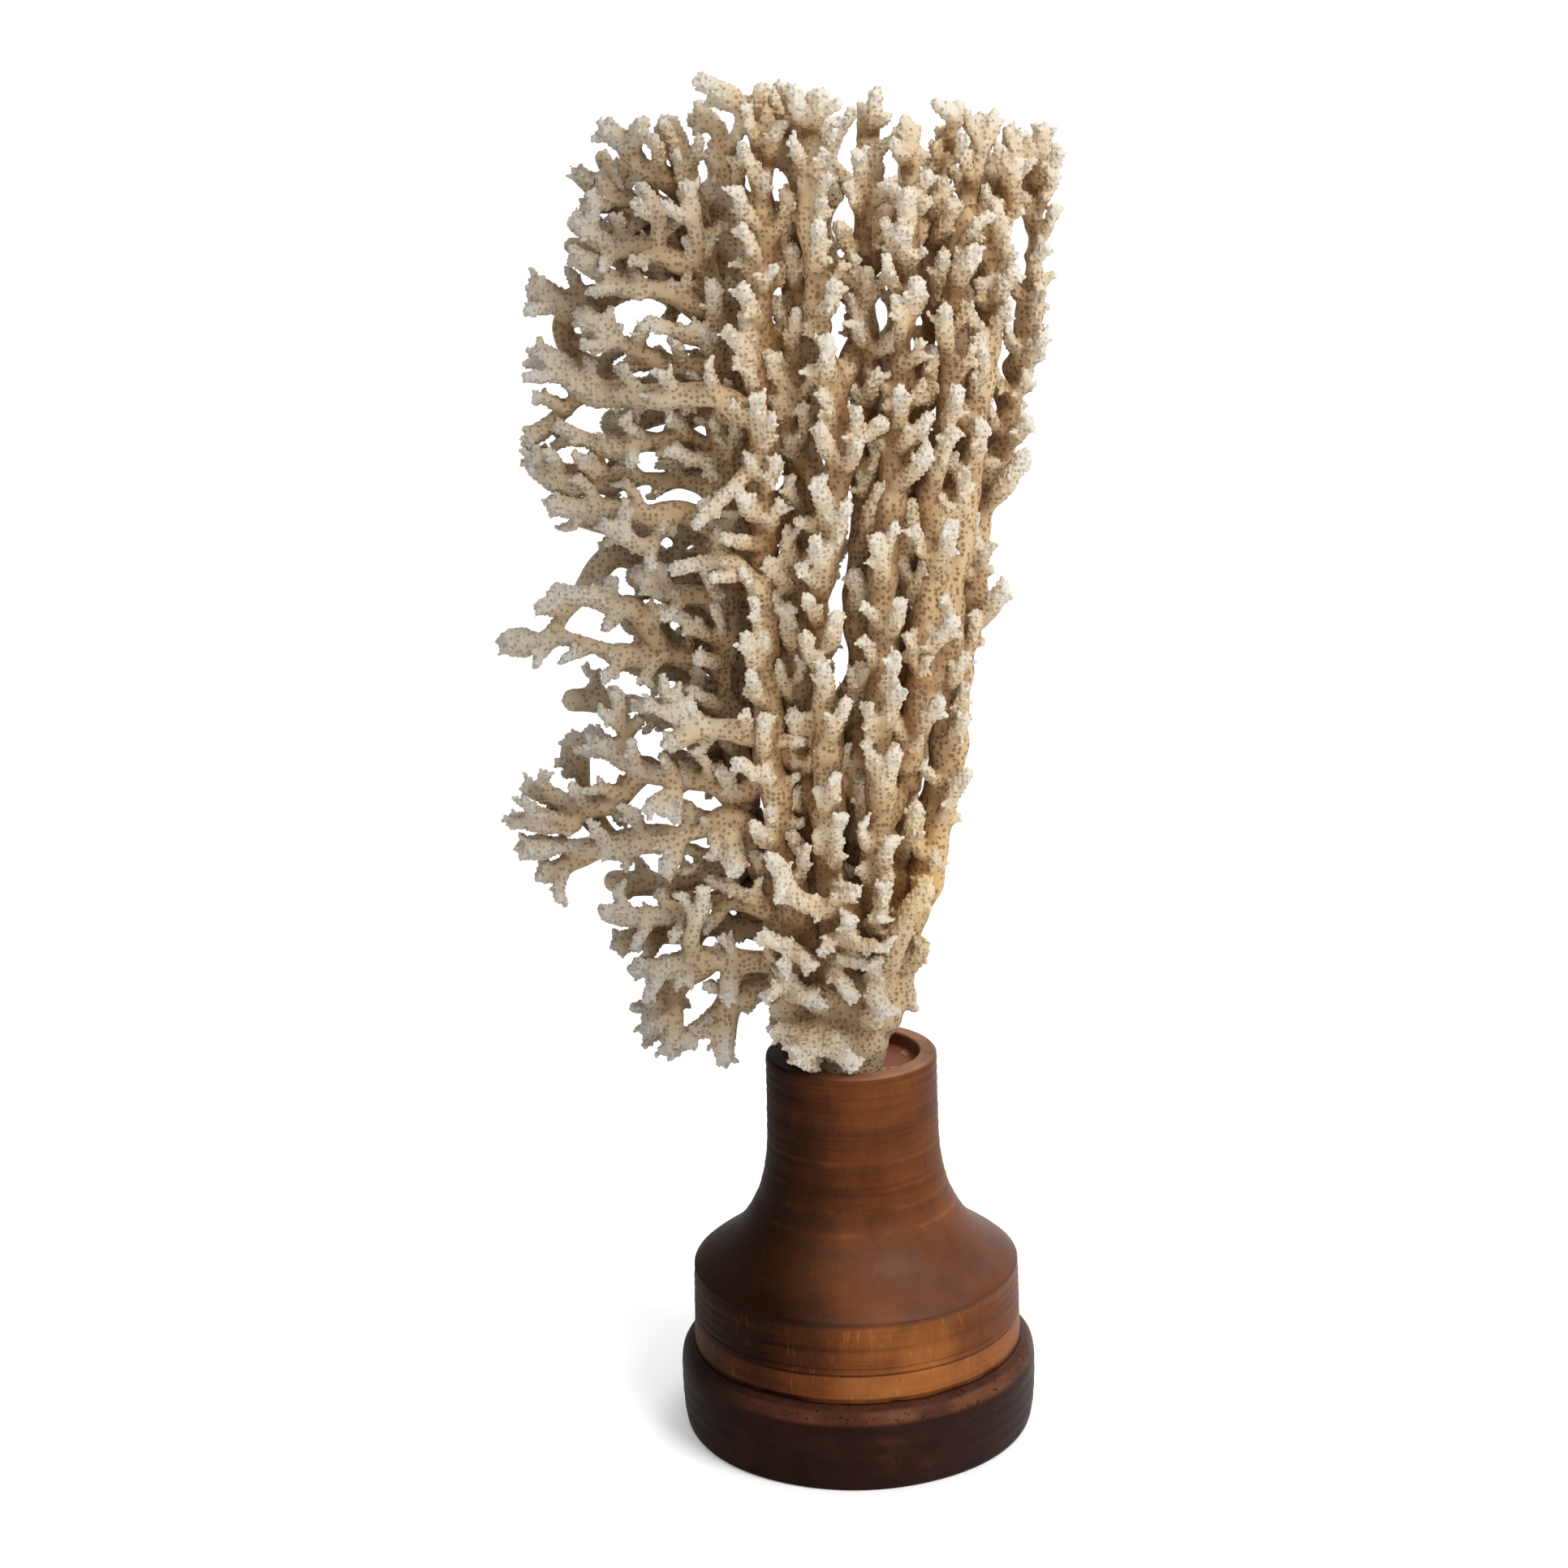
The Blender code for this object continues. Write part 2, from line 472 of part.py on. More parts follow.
def keep_largest_body(data):
    """Drops the offcuts of a Boolean, welds points that all but meet and clears needless edges."""
    mesh = bmesh.new()
    mesh.from_mesh(data)
    bmesh.ops.remove_doubles(mesh, verts=mesh.verts[:], dist=WELD * MM)
    bmesh.ops.dissolve_degenerate(mesh, dist=WELD * MM, edges=mesh.edges[:])
    bmesh.ops.dissolve_limit(mesh, angle_limit=FLAT_ANGLE, verts=mesh.verts[:], edges=mesh.edges[:])
    bmesh.ops.triangulate(mesh, faces=mesh.faces[:])
    waiting = set(mesh.verts)
    bodies = []
    while waiting:
        body = set()
        front = [waiting.pop()]
        while front:
            vertex = front.pop()
            body.add(vertex)
            for edge in vertex.link_edges:
                other = edge.other_vert(vertex)
                if other in waiting:
                    waiting.remove(other)
                    front.append(other)
        bodies.append(body)
    bodies.sort(key=len, reverse=True)
    offcuts = [vertex for body in bodies[1:] for vertex in body]
    bmesh.ops.delete(mesh, geom=offcuts, context="VERTS")
    mesh.to_mesh(data)
    mesh.free()


def closest_on_segment(point, start, end):
    """The point between start and end that is nearest to the given point."""
    way = end - start
    share = max(0.0, min(1.0, (point - start).dot(way) / way.length_squared))
    return start + way * share


def nearest_on_route(point, route):
    """The point of a route that is nearest to a given point."""
    candidates = [closest_on_segment(point, start, end) for start, end in zip(route, route[1:])]
    return min(candidates, key=lambda candidate: (candidate - point).length)


def seen(point):
    """Where a point appears on the middle plane."""
    share = -EYE.y / (point.y - EYE.y)
    return EYE + (point - EYE) * share


def beads_of(tube):
    """The tube as a row of balls: one line (x, y, z, radius) for each."""
    route, radii, _ = tube
    end_way = (route[-1] - route[-2]).normalized()
    stations = route + [route[-1] + end_way * radii[-1] * TIP_LENGTH]
    sizes = radii + [0.0]
    rows = []
    for index in range(len(stations) - 1):
        start, end = stations[index], stations[index + 1]
        steps = max(2, math.ceil((end - start).length / BEAD_SPACING))
        for step in range(steps + 1):
            share = step / steps
            rows.append((*start.lerp(end, share), sizes[index] * (1.0 - share) + sizes[index + 1] * share))
    return np.array(rows)


def clearance(beads, others):
    """The least free distance between two sets of balls, negative where they overlap."""
    apart = np.linalg.norm(beads[:, None, :3] - others[None, :, :3], axis=2)
    return float((apart - beads[:, None, 3] - others[None, :, 3]).min())


def shortened_to_fit(root, tip, radius, others):
    """The longest twig from root towards tip that stays clear of the others, or nothing. Its first part
    lies inside its own rib and isn't tried."""
    for share in TWIG_LENGTHS:
        end = root.lerp(tip, share)
        start = root.lerp(tip, TWIG_FREE_FROM)
        trial = ([start, end], [radius, radius * TWIG_TAPER], TWIG_SIDES)
        if clearance(beads_of(trial), others) > TOUCHING_GAP:
            return ([root, end], [radius, radius * TWIG_TAPER], TWIG_SIDES)
    return None


def beads_except(pieces, name):
    """The balls of every piece but the named one."""
    others = [tube for key, tubes in pieces.items() if key != name for tube in tubes]
    return np.concatenate([beads_of(tube) for tube in others])


def rib_tubes():
    """Each rib's own tube, keyed by the rib's name."""
    made = {}
    for name, points in RIBS.items():
        route = route_of(points)
        radii = radii_between(RIB_ROOT_RADIUS, RIB_TIP_RADIUS, len(route))
        made[name] = [(route, radii, RIB_SIDES)]
    return made


def add_front_twigs(pieces):
    """Gives each front twig to the rib that its root is seen on."""
    fronts = {name: pieces[name][0][0] for name in RIBS if "back_" not in name}
    seen_routes = {name: [seen(point) for point in route] for name, route in fronts.items()}
    for tip_x, tip_z, root_x, root_z, radius in FRONT_TWIGS:
        root_seen = Vector((root_x, 0.0, root_z))
        name = min(
            seen_routes,
            key=lambda key: (nearest_on_route(root_seen, seen_routes[key]) - root_seen).length,
        )
        root = route_point_seen_at(root_seen, fronts[name])
        tip = placed((tip_x, root.y + bow_at(tip_x, tip_z) - TWIG_REACH, tip_z))
        twig = shortened_to_fit(root, tip, radius, beads_except(pieces, name))
        if twig:
            pieces[name].append(twig)


def route_point_seen_at(point, route):
    """The point of a route whose picture on the middle plane is nearest to the given point."""
    candidates = []
    for start, end in zip(route, route[1:]):
        candidates += [start.lerp(end, step / ROUTE_STEPS) for step in range(ROUTE_STEPS + 1)]
    return min(candidates, key=lambda candidate: (seen(candidate) - point).length)


def add_back_twigs(pieces):
    """Sets twigs up the back ribs, swinging from side to side as they climb."""
    for name in RIBS:
        if "back_" not in name:
            continue
        route = pieces[name][0][0]
        others = beads_except(pieces, name)
        count = 1
        root = point_along(route, BACK_TWIG_SPACING)
        while root is not None:
            swing = BACK_TWIG_SWING * math.sin(count * BACK_TWIG_TURN)
            out = Vector((math.sin(swing), math.cos(swing), BACK_TWIG_RISE)).normalized()
            tip = root + out * BACK_TWIG_LENGTH
            twig = shortened_to_fit(root, tip, BACK_TWIG_RADIUS, others)
            if twig:
                pieces[name].append(twig)
            count += 1
            root = point_along(route, count * BACK_TWIG_SPACING)


def point_along(route, distance):
    """The point that lies this far along a route, or nothing past its end."""
    for start, end in zip(route, route[1:]):
        length = (end - start).length
        if distance < length:
            return start.lerp(end, distance / length)
        distance -= length
    return None


def arm_tubes():
    """Each arm's main tube and its prongs, keyed by the arm's name."""
    made = {}
    for name, parts in ARMS.items():
        tubes = []
        for index, (points, root_radius, tip_radius) in enumerate(parts):
            route = route_of(points)
            sides = PRONG_SIDES if index else ARM_SIDES
            tubes.append((route, radii_between(root_radius, tip_radius, len(route)), sides))
        made[name] = tubes
    return made


def foot_tubes():
    """The trunk, which ends flat in the recess, and the stems and lumps that leave it."""
    points, low_radius, high_radius = TRUNK
    route = route_of(points)
    base = RECESS_FLOOR + TOUCHING_GAP
    route[0] = Vector((route[1].x, route[1].y, base))
    tubes = [(route, radii_between(low_radius, high_radius, len(route)), TRUNK_SIDES)]
    for points, root_radius, tip_radius in FOOT_STEMS:
        route = route_of(points)
        tubes.append((route, radii_between(root_radius, tip_radius, len(route)), RIB_SIDES))
    return tubes


def build_coral(material):
    """Makes the foot, then the ribs, then the arms. Each is cut back where it leaves those made before it,
    so that neighbours keep the touching gap."""
    pieces = {"coral_foot": foot_tubes()} | rib_tubes() | arm_tubes()
    add_front_twigs(pieces)
    add_back_twigs(pieces)
    done = []
    for name, tubes in pieces.items():
        thing = bpy.data.objects.new(name, tube_mesh(name, tubes[:1]))
        bpy.context.scene.collection.objects.link(thing)
        if tubes[1:]:
            combine(thing, helper(name + "_twigs", tube_mesh(name + "_twigs", tubes[1:])), "UNION")
        own_beads = np.concatenate([beads_of(tube) for tube in tubes])
        near = [tube for tube in done if clearance(own_beads, beads_of(tube)) < TOUCHING_GAP]
        if near:
            room = tube_mesh(name + "_room", near, TOUCHING_GAP * ROOM_SHARE)
            combine(thing, helper(name + "_room", room), "DIFFERENCE")
        keep_largest_body(thing.data)
        thing.data.materials.clear()
        thing.data.materials.append(material)
        thing.data.shade_smooth()
        thing.data.set_sharp_from_angle(angle=CORAL_SHARP_EDGE)
        done += tubes


def turned_piece(name, outline, material):
    """Turns an outline (radius, height), from the top of the axis to its foot, about the vertical axis."""
    mesh = bmesh.new()
    points = [mesh.verts.new((radius * MM, 0.0, height * MM)) for radius, height in outline]
    edges = [mesh.edges.new(pair) for pair in zip(points, points[1:])]
    bmesh.ops.spin(
        mesh,
        geom=points + edges,
        cent=(0.0, 0.0, 0.0),
        axis=(0.0, 0.0, 1.0),
        angle=math.tau,
        steps=STAND_SIDES,
        use_merge=True,
    )
    bmesh.ops.remove_doubles(mesh, verts=mesh.verts[:], dist=WELD * MM)
    bmesh.ops.dissolve_degenerate(mesh, dist=WELD * MM, edges=mesh.edges[:])
    bmesh.ops.recalc_face_normals(mesh, faces=mesh.faces[:])
    data = bpy.data.meshes.new(name)
    mesh.to_mesh(data)
    mesh.free()
    data.materials.append(material)
    data.shade_smooth()
    data.set_sharp_from_angle(angle=WOOD_SHARP_EDGE)
    thing = bpy.data.objects.new(name, data)
    bpy.context.scene.collection.objects.link(thing)
    return thing


def build_stand(wood, dark_wood):
    """The bell, with the recess in its top, and the plinth under it."""
    turned_piece("stand_bell", BELL_OUTLINE, wood)
    turned_piece("stand_plinth", PLINTH_OUTLINE, dark_wood)


def main():
    clear_scene()
    coral = make_material("coral", (0.62, 0.50, 0.34), 0.85)
    wood = make_material("turned_wood", (0.26, 0.11, 0.04), 0.42)
    dark_wood = make_material("dark_wood", (0.045, 0.022, 0.015), 0.45)
    build_stand(wood, dark_wood)
    build_coral(coral)


main()
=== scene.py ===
# %% [markdown]
# # A branching coral on a turned wooden stand
#
# The real object is a dried coral fan, some 32 cm tall, set by its foot in a round recess at the top of a
# turned and polished wooden bell, which stands on a dark plinth. The coral is many limbs that grew together:
# upright ribs side by side, short arms at the left, and a white-tipped twig every centimetre or so.
#
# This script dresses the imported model. It first loads the solids as a fixed frame. Every solid is
# then replaced by a finer surface in the same place, so nothing has to be fitted by eye. Each
# surface is a formula: a circle carried along a path, or a profile turned about an axis, worked
# out with numpy for all its points at once.

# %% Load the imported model
import math

import bpy
import numpy as np
from mathutils import Matrix


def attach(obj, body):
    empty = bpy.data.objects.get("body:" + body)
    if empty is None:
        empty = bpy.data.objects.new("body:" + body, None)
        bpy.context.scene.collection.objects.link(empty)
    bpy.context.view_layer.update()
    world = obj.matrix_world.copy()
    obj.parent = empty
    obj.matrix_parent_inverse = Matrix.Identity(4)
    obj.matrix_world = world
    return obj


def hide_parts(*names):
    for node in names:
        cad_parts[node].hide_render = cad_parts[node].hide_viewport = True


MM = 0.001
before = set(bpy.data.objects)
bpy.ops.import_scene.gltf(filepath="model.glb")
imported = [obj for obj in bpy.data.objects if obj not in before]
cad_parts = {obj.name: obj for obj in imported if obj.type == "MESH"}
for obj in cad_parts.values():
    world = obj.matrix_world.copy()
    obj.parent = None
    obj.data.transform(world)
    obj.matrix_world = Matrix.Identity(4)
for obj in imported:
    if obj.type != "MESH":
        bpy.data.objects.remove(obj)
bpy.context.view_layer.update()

# %% [markdown]
# ## The camera
#
# The photograph was taken from a little above the top of the coral, looking down by some fourteen
# degrees. The lens is long, because the stand's ellipses are nearly as flat at its top as at its foot.
# Blender wants a matrix whose columns are the camera's right, up and backward directions. Writing those
# three out of a pitch, a yaw and a roll keeps each angle readable. All lengths in this script are
# millimetres and become metres at the mesh.

# %% Camera
EYE = np.array([0.0, -904.7, 455.6])
PITCH, YAW, ROLL = 0.2499, -0.0221, -0.0282
FOCAL_LENGTH_PX, FRAME_PX = 3500.0, 1932.0


def camera_axes():
    """Forward is the view turned by yaw and pitch; right and up are square to it and turned by the roll."""
    forward = np.array([math.sin(YAW) * math.cos(PITCH), math.cos(YAW) * math.cos(PITCH), -math.sin(PITCH)])
    level = np.array([math.cos(YAW), -math.sin(YAW), 0.0])
    upright = np.cross(level, forward)
    right = math.cos(ROLL) * level + math.sin(ROLL) * upright
    up = math.cos(ROLL) * upright - math.sin(ROLL) * level
    return right, up, -forward


camera_data = bpy.data.cameras.new("camera")
camera_data.sensor_width = 36.0
camera_data.lens = camera_data.sensor_width * FOCAL_LENGTH_PX / FRAME_PX
camera = bpy.data.objects.new("camera", camera_data)
bpy.context.scene.collection.objects.link(camera)
turned = Matrix(np.column_stack(camera_axes()).tolist()).to_4x4()
camera.matrix_world = Matrix.Translation((EYE * MM).tolist()) @ turned
bpy.context.scene.camera = camera
print("lens:", round(camera_data.lens, 2), "mm")

# %% [markdown]
# ## Where the coral grows
#
# A coral limb is easiest to describe by the line that its middle follows. Each route below is a few
# points (x, depth, z), foot end first. x and z are where the point is seen on the upright plane
# through the stand's axis, and depth is how far it lies behind that plane before the fan's bulge is
# taken off. Writing a route the way it is seen makes it easy to compare with the photograph, and
# the depth then says where it is in space.

# %% Routes of the ribs
RIBS = {
    "rib_right_edge": [
        (14, 3, 158), (19, 5, 176), (27, 8, 198), (31, 11, 218), (34, 14, 240), (38, 16, 265),
        (41.5, 17, 285), (44, 18, 305), (47, 19, 320), (52, 19, 335), (56, 20, 352), (60, 20, 370),
        (62, 19, 388), (64, 18, 402), (62, 17, 415), (65, 16, 430),
    ],
    "rib_right_front": [
        (33, 13, 243), (33.5, 9, 262), (35.5, 7, 283), (38, 7, 305), (42, 7, 330), (45, 8, 352), (48, 8, 370),
        (50, 8, 385), (51, 7, 400), (54, 6, 415), (57, 5, 429),
    ],
    "rib_right_inner": [
        (20, 5, 232), (24, 1, 250), (27, 0, 270), (29, 0, 295), (29.5, 0, 317), (32, 0, 333), (35, 0, 350),
        (36, 0, 367), (37.5, 1, 385), (40, 1, 400), (44, 1, 413), (49, 0, 433),
    ],
    "rib_middle_right": [
        (12, 4, 172), (17, 7, 195), (18.5, 8, 218), (20, 8, 245), (21, 9, 275), (22, 9, 300), (24, 9, 325),
        (26, 9, 345), (29, 9, 365), (31, 9, 385), (32, 9, 400), (33, 8, 418), (36, 7, 430),
    ],
    "rib_middle_front": [
        (6, -1, 172), (10, -2, 196), (11, -2, 220), (12, -2, 245), (13, -2, 275), (15, -2, 300),
        (17, -2, 325), (20, -2, 345), (20.5, -2, 365), (22, -1, 385), (23, 0, 400), (24, 0, 432),
    ],
    "rib_middle": [
        (2, 5, 172), (2, 8, 200), (5, 8, 230), (6, 8, 260), (6, 8, 290), (8, 8, 315), (10, 8, 335),
        (10, 8, 355), (9, 8, 375), (10, 8, 395), (11, 8, 415), (13, 7, 437),
    ],
    "rib_middle_left": [
        (-4, -1, 172), (-6, -2, 200), (-5, -2, 230), (-6, -2, 255), (-6, -2, 280), (-4, -2, 305),
        (0, -2, 325), (0.5, -2, 345), (-3, -2, 365), (-5, -2, 385), (-6, -2, 405), (-6, -2, 425),
        (-4, -2, 441),
    ],
    "rib_left_back": [
        (-8, 5, 172), (-12, 7, 197), (-14, 8, 225), (-15, 8, 255), (-15, 8, 285), (-13.5, 8, 310),
        (-13, 8, 335), (-13, 9, 360), (-12.5, 10, 385), (-11, 10, 410), (-11.5, 9, 443),
    ],
    "rib_left_front": [
        (-13, 0, 168), (-19, -1, 192), (-23, -1, 220), (-25, -1, 250), (-25, -1, 280), (-24, -1, 310),
        (-24, -1, 340), (-24, -1, 370), (-22, 0, 395), (-21, 0, 420), (-20, 0, 445),
    ],
    "rib_left_edge": [
        (-16, 5, 168), (-25, 7, 190), (-33, 8, 215), (-37, 8, 245), (-38, 8, 275), (-37, 8, 305),
        (-37, 8, 335), (-38, 8, 365), (-40, 8, 390), (-43, 7, 410), (-47, 6, 425), (-50, 5, 436),
    ],
    "rib_back_right": [
        (8, 17, 176), (18, 25, 215), (26, 30, 255), (31, 32, 295), (36, 33, 335), (41, 31, 372),
        (46, 28, 405), (48, 24, 424),
    ],
    "rib_back_middle_right": [
        (4, 19, 176), (7, 28, 220), (10, 33, 262), (13, 35, 305), (16, 36, 345), (20, 34, 385),
        (22, 30, 422),
    ],
    "rib_back_middle_left": [
        (-2, 19, 176), (-5, 27, 222), (-9, 33, 268), (-9, 36, 312), (-6, 37, 355), (-3, 34, 395),
        (-1, 30, 434),
    ],
    "rib_back_left": [
        (-8, 17, 176), (-18, 24, 212), (-27, 28, 250), (-31, 30, 290), (-31, 31, 330), (-31, 30, 368),
        (-32, 27, 400), (-35, 23, 424),
    ],
}

# %% Routes of the arms
# Each arm is a main line and its prongs: (route, radius at the root, radius at the tip).
ARMS = {
    "arm_01_top": [
        ([(-21, 0, 430), (-24, -2, 438), (-30.6, -4, 444), (-38.5, -6, 448)], 3.6, 3.0),
        ([(-23, 0, 410), (-31.5, 3, 418), (-33, 5, 427), (-35.6, 6, 436), (-39, 7, 441)], 3.2, 2.6),
    ],
    "arm_02": [
        ([(-45, 7, 416), (-52, 3, 420), (-59, 1, 423), (-63.8, -1, 431), (-68, -3, 435.5)], 4.2, 3.2),
        ([(-62.5, 0, 429), (-59.5, -5, 436)], 3.4, 2.4),
    ],
    "arm_03": [
        ([(-43, 8, 406), (-55, 12, 409), (-64, 11, 412), (-71, 9, 416), (-78, 7, 421.5)], 4.2, 3.0),
        ([(-62, 12, 411), (-66, 16, 418), (-70.5, 19, 427.5)], 3.4, 2.6),
        ([(-68, 10, 414), (-75.5, 4, 411.5)], 3.2, 2.4),
    ],
    "arm_04": [
        ([(-41, 8, 392), (-50, 1, 396), (-60, -1, 399), (-69.5, -2, 399), (-79, -5, 407.5)], 4.4, 3.2),
        ([(-54.8, 0, 397), (-55, -7, 409.5), (-58.5, -10, 417.5)], 3.2, 2.6),
        ([(-43, 2, 395), (-42.5, -6, 408), (-45, -9, 417)], 3.2, 2.6),
    ],
    "arm_05": [
        ([(-40, 8, 378), (-46.5, 2, 381.7), (-56, 0, 386.5), (-65, -2, 388), (-79.5, -6, 396)], 4.2, 3.2),
        ([(-57, 1, 386), (-66, 6, 385.5), (-73, 7, 384.5), (-84.5, 6, 382.7), (-92.5, 4, 385.5)], 4.8, 4.6),
        ([(-76, 7, 384), (-84.5, 10, 377), (-83, 13, 366.5), (-70, 16, 359)], 3.8, 3.4),
    ],
    "arm_06": [
        ([(-38, 8, 362), (-46, 3, 362), (-55.5, 1, 363.6), (-69.5, -3, 370.5), (-78.5, -6, 377.8)], 4.4, 3.4),
        ([(-63, -1, 367), (-61, -6, 374)], 3.0, 2.4),
    ],
    "arm_07": [
        ([(-25, -1, 345), (-30.5, -7, 347.5), (-38, -9, 351.5), (-56, -7, 353), (-67, -4, 354.5),
          (-74.8, -2, 354), (-81.8, -1, 356.5), (-86.3, -1, 361), (-92, -2, 365)], 4.4, 4.6),
        ([(-80, -1, 355.5), (-86.8, 1, 347.8), (-97.5, 1, 339.8)], 3.8, 3.0),
    ],
    "arm_08": [
        ([(-37, 8, 334), (-44, 4, 338), (-50.3, 2, 340.5), (-70, -1, 338), (-79.5, -2, 339),
          (-88, -3, 342.5)], 4.6, 4.2),
        ([(-66, -1, 339), (-65.4, -6, 333)], 2.8, 2.2),
    ],
    "arm_09": [
        ([(-37, 8, 322), (-46, 10, 326), (-57, 8, 327), (-67, 6, 326), (-80, 3, 325.5), (-89.5, 1, 328),
          (-94, -1, 332)], 5.0, 5.2),
        ([(-70, 4, 327), (-81, -5, 332.5)], 3.0, 2.2),
    ],
    "arm_10": [
        ([(-37, 8, 309), (-44, 4, 313), (-51.5, 3, 315.7), (-61.3, 1, 314), (-77.3, 0, 317.2),
          (-90, -2, 319.5)], 4.4, 3.8),
        ([(-52, 3, 315), (-61.9, -5, 305.5), (-68, -8, 308), (-75, -10, 311)], 3.2, 2.6),
    ],
    "arm_11": [
        ([(-24, -1, 283), (-28, -8, 291), (-36, -11, 299), (-44, -12, 299.8), (-53, -13, 298)], 3.8, 3.0),
    ],
    "arm_12": [
        ([(-37.5, 8, 281), (-43, 3, 286.5), (-51.8, 1, 288.8), (-58.2, 0, 291), (-63.7, -2, 296)], 4.2, 3.2),
    ],
    "arm_13_loop": [
        ([(-38, 8, 260), (-46, 8, 266), (-54, 6, 270), (-61, 3, 270), (-70, 0, 268), (-79, -2, 270.8),
          (-90.3, -3, 275), (-98, -2, 275), (-107, -2, 275)], 4.4, 5.0),
        ([(-59, 4, 270), (-61.5, 1, 277), (-67, -1, 285), (-72.4, -2, 285), (-79.5, -3, 288),
          (-91, -4, 288.5)], 4.2, 3.6),
        ([(-86, -3, 288), (-91, -3, 282), (-97, -2, 275)], 3.8, 4.2),
    ],
    "arm_14": [
        ([(-24, -1, 240), (-34, -8, 243), (-44, -10, 243), (-50.7, -10, 243.5), (-54.7, -11, 254)], 4.4, 3.6),
        ([(-49, -10, 243), (-56, -12, 239.5)], 3.4, 3.0),
        ([(-52.5, -10, 247), (-58, -8, 251), (-66, -8, 251.5)], 3.0, 2.4),
    ],
    "arm_15": [
        ([(-34, 8, 219), (-41, 3, 224.5), (-48, 1, 227), (-54.5, 0, 229), (-67.5, -2, 231.5),
          (-80, -4, 239)], 5.0, 3.6),
        ([(-65, -1, 231), (-75.5, 1, 221), (-80.4, 2, 219), (-89.7, 2, 219.3), (-103.5, 1, 223.5)], 4.2, 3.2),
        ([(-81, 2, 219), (-88, -1, 215.5), (-92.7, -2, 212), (-108.5, -3, 213.7)], 3.6, 3.2),
        ([(-56, 0, 229), (-56.3, -7, 221), (-57, -8, 215)], 3.8, 2.8),
        ([(-70.5, -2, 234), (-72, -4, 244), (-74.8, -5, 256)], 3.0, 2.2),
    ],
    "arm_16_big": [
        ([(-27, 7, 200), (-36, 0, 212), (-48.8, -1, 209.3), (-58.8, 0, 208.8), (-68.7, 0, 206.3),
          (-78.6, 1, 203.8), (-90.5, 1, 205), (-104, 0, 205.5)], 5.4, 4.8),
        ([(-84, 2, 204), (-94.2, 4, 197), (-100.2, 4, 195.3)], 4.0, 3.2),
        ([(-78, 2, 205), (-85, 12, 218), (-85.5, 14, 230), (-88, 13, 240)], 4.4, 4.0),
        ([(-40, -1, 211), (-37, -8, 205), (-38, -10, 196.5)], 4.0, 3.2),
        ([(-53, -1, 208), (-60, -6, 197)], 3.6, 2.8),
    ],
    "arm_17": [
        ([(-20, 6, 178), (-30, 3, 184), (-44, 3, 184), (-52.8, 2, 181.8), (-69.7, 0, 180.3),
          (-80, -1, 182)], 4.2, 3.2),
    ],
    "arm_18": [
        ([(-16, 8, 166), (-27, 12, 173), (-38, 13, 175.5), (-56, 12, 174.5), (-68, 10, 174),
          (-75, 9, 171)], 4.6, 3.8),
    ],
    "arm_19": [
        ([(-13, -2, 160), (-28.5, -4, 164.5), (-42.3, -5, 163.5), (-51, -5, 165.3),
          (-70, -7, 161.5)], 4.6, 3.4),
        ([(-51, -5, 165), (-51.8, -9, 173), (-48.2, -11, 187.5)], 3.4, 2.6),
        ([(-49, -4, 164), (-59.5, 1, 155), (-64.5, 2, 149), (-66.5, 2, 141.5)], 5.0, 4.8),
        ([(-61, 1, 153), (-58.5, -3, 145.5), (-60.5, -4, 134)], 3.6, 3.0),
        ([(-38, -5, 163.5), (-40.5, -9, 153)], 4.0, 3.2),
    ],
    "arm_20_low": [
        ([(-12, 2, 148), (-24, 4, 155), (-33, 2, 152.5), (-43.5, 0, 146.7), (-57, -2, 137.5)], 5.2, 4.6),
        ([(-41, 0, 148), (-42.5, -3, 131.5)], 4.2, 3.8),
    ],
    "arm_back_1": [
        ([(-31, 29, 386), (-44, 28, 388), (-58, 24, 394), (-70, 20, 398), (-82, 16, 400)], 4.2, 3.2),
    ],
    "arm_back_2": [
        ([(-31, 31, 345), (-46, 29, 346), (-60, 25, 345), (-72, 21, 347)], 4.2, 3.2),
    ],
    "arm_back_3": [
        ([(-31, 30, 296), (-45, 28, 300), (-57, 23, 301), (-64, 19, 300), (-72.3, 16, 302),
          (-83, 14, 292)], 4.8, 4.6),
        ([(-55, 26, 301), (-70, 19, 311), (-84, 14, 313.5)], 4.0, 3.2),
    ],
    "arm_back_4": [
        ([(-26, 28, 240), (-42, 25, 244), (-56, 21, 248), (-66.5, 17, 253.5), (-79.7, 13, 255),
          (-88, 11, 255)], 4.8, 4.6),
    ],
    "arm_back_5": [
        ([(-12, 20, 186), (-26, 21, 194), (-39, 21, 196), (-49, 19, 193.3), (-69, 15, 191.7),
          (-77, 13, 192)], 4.8, 4.4),
    ],
}

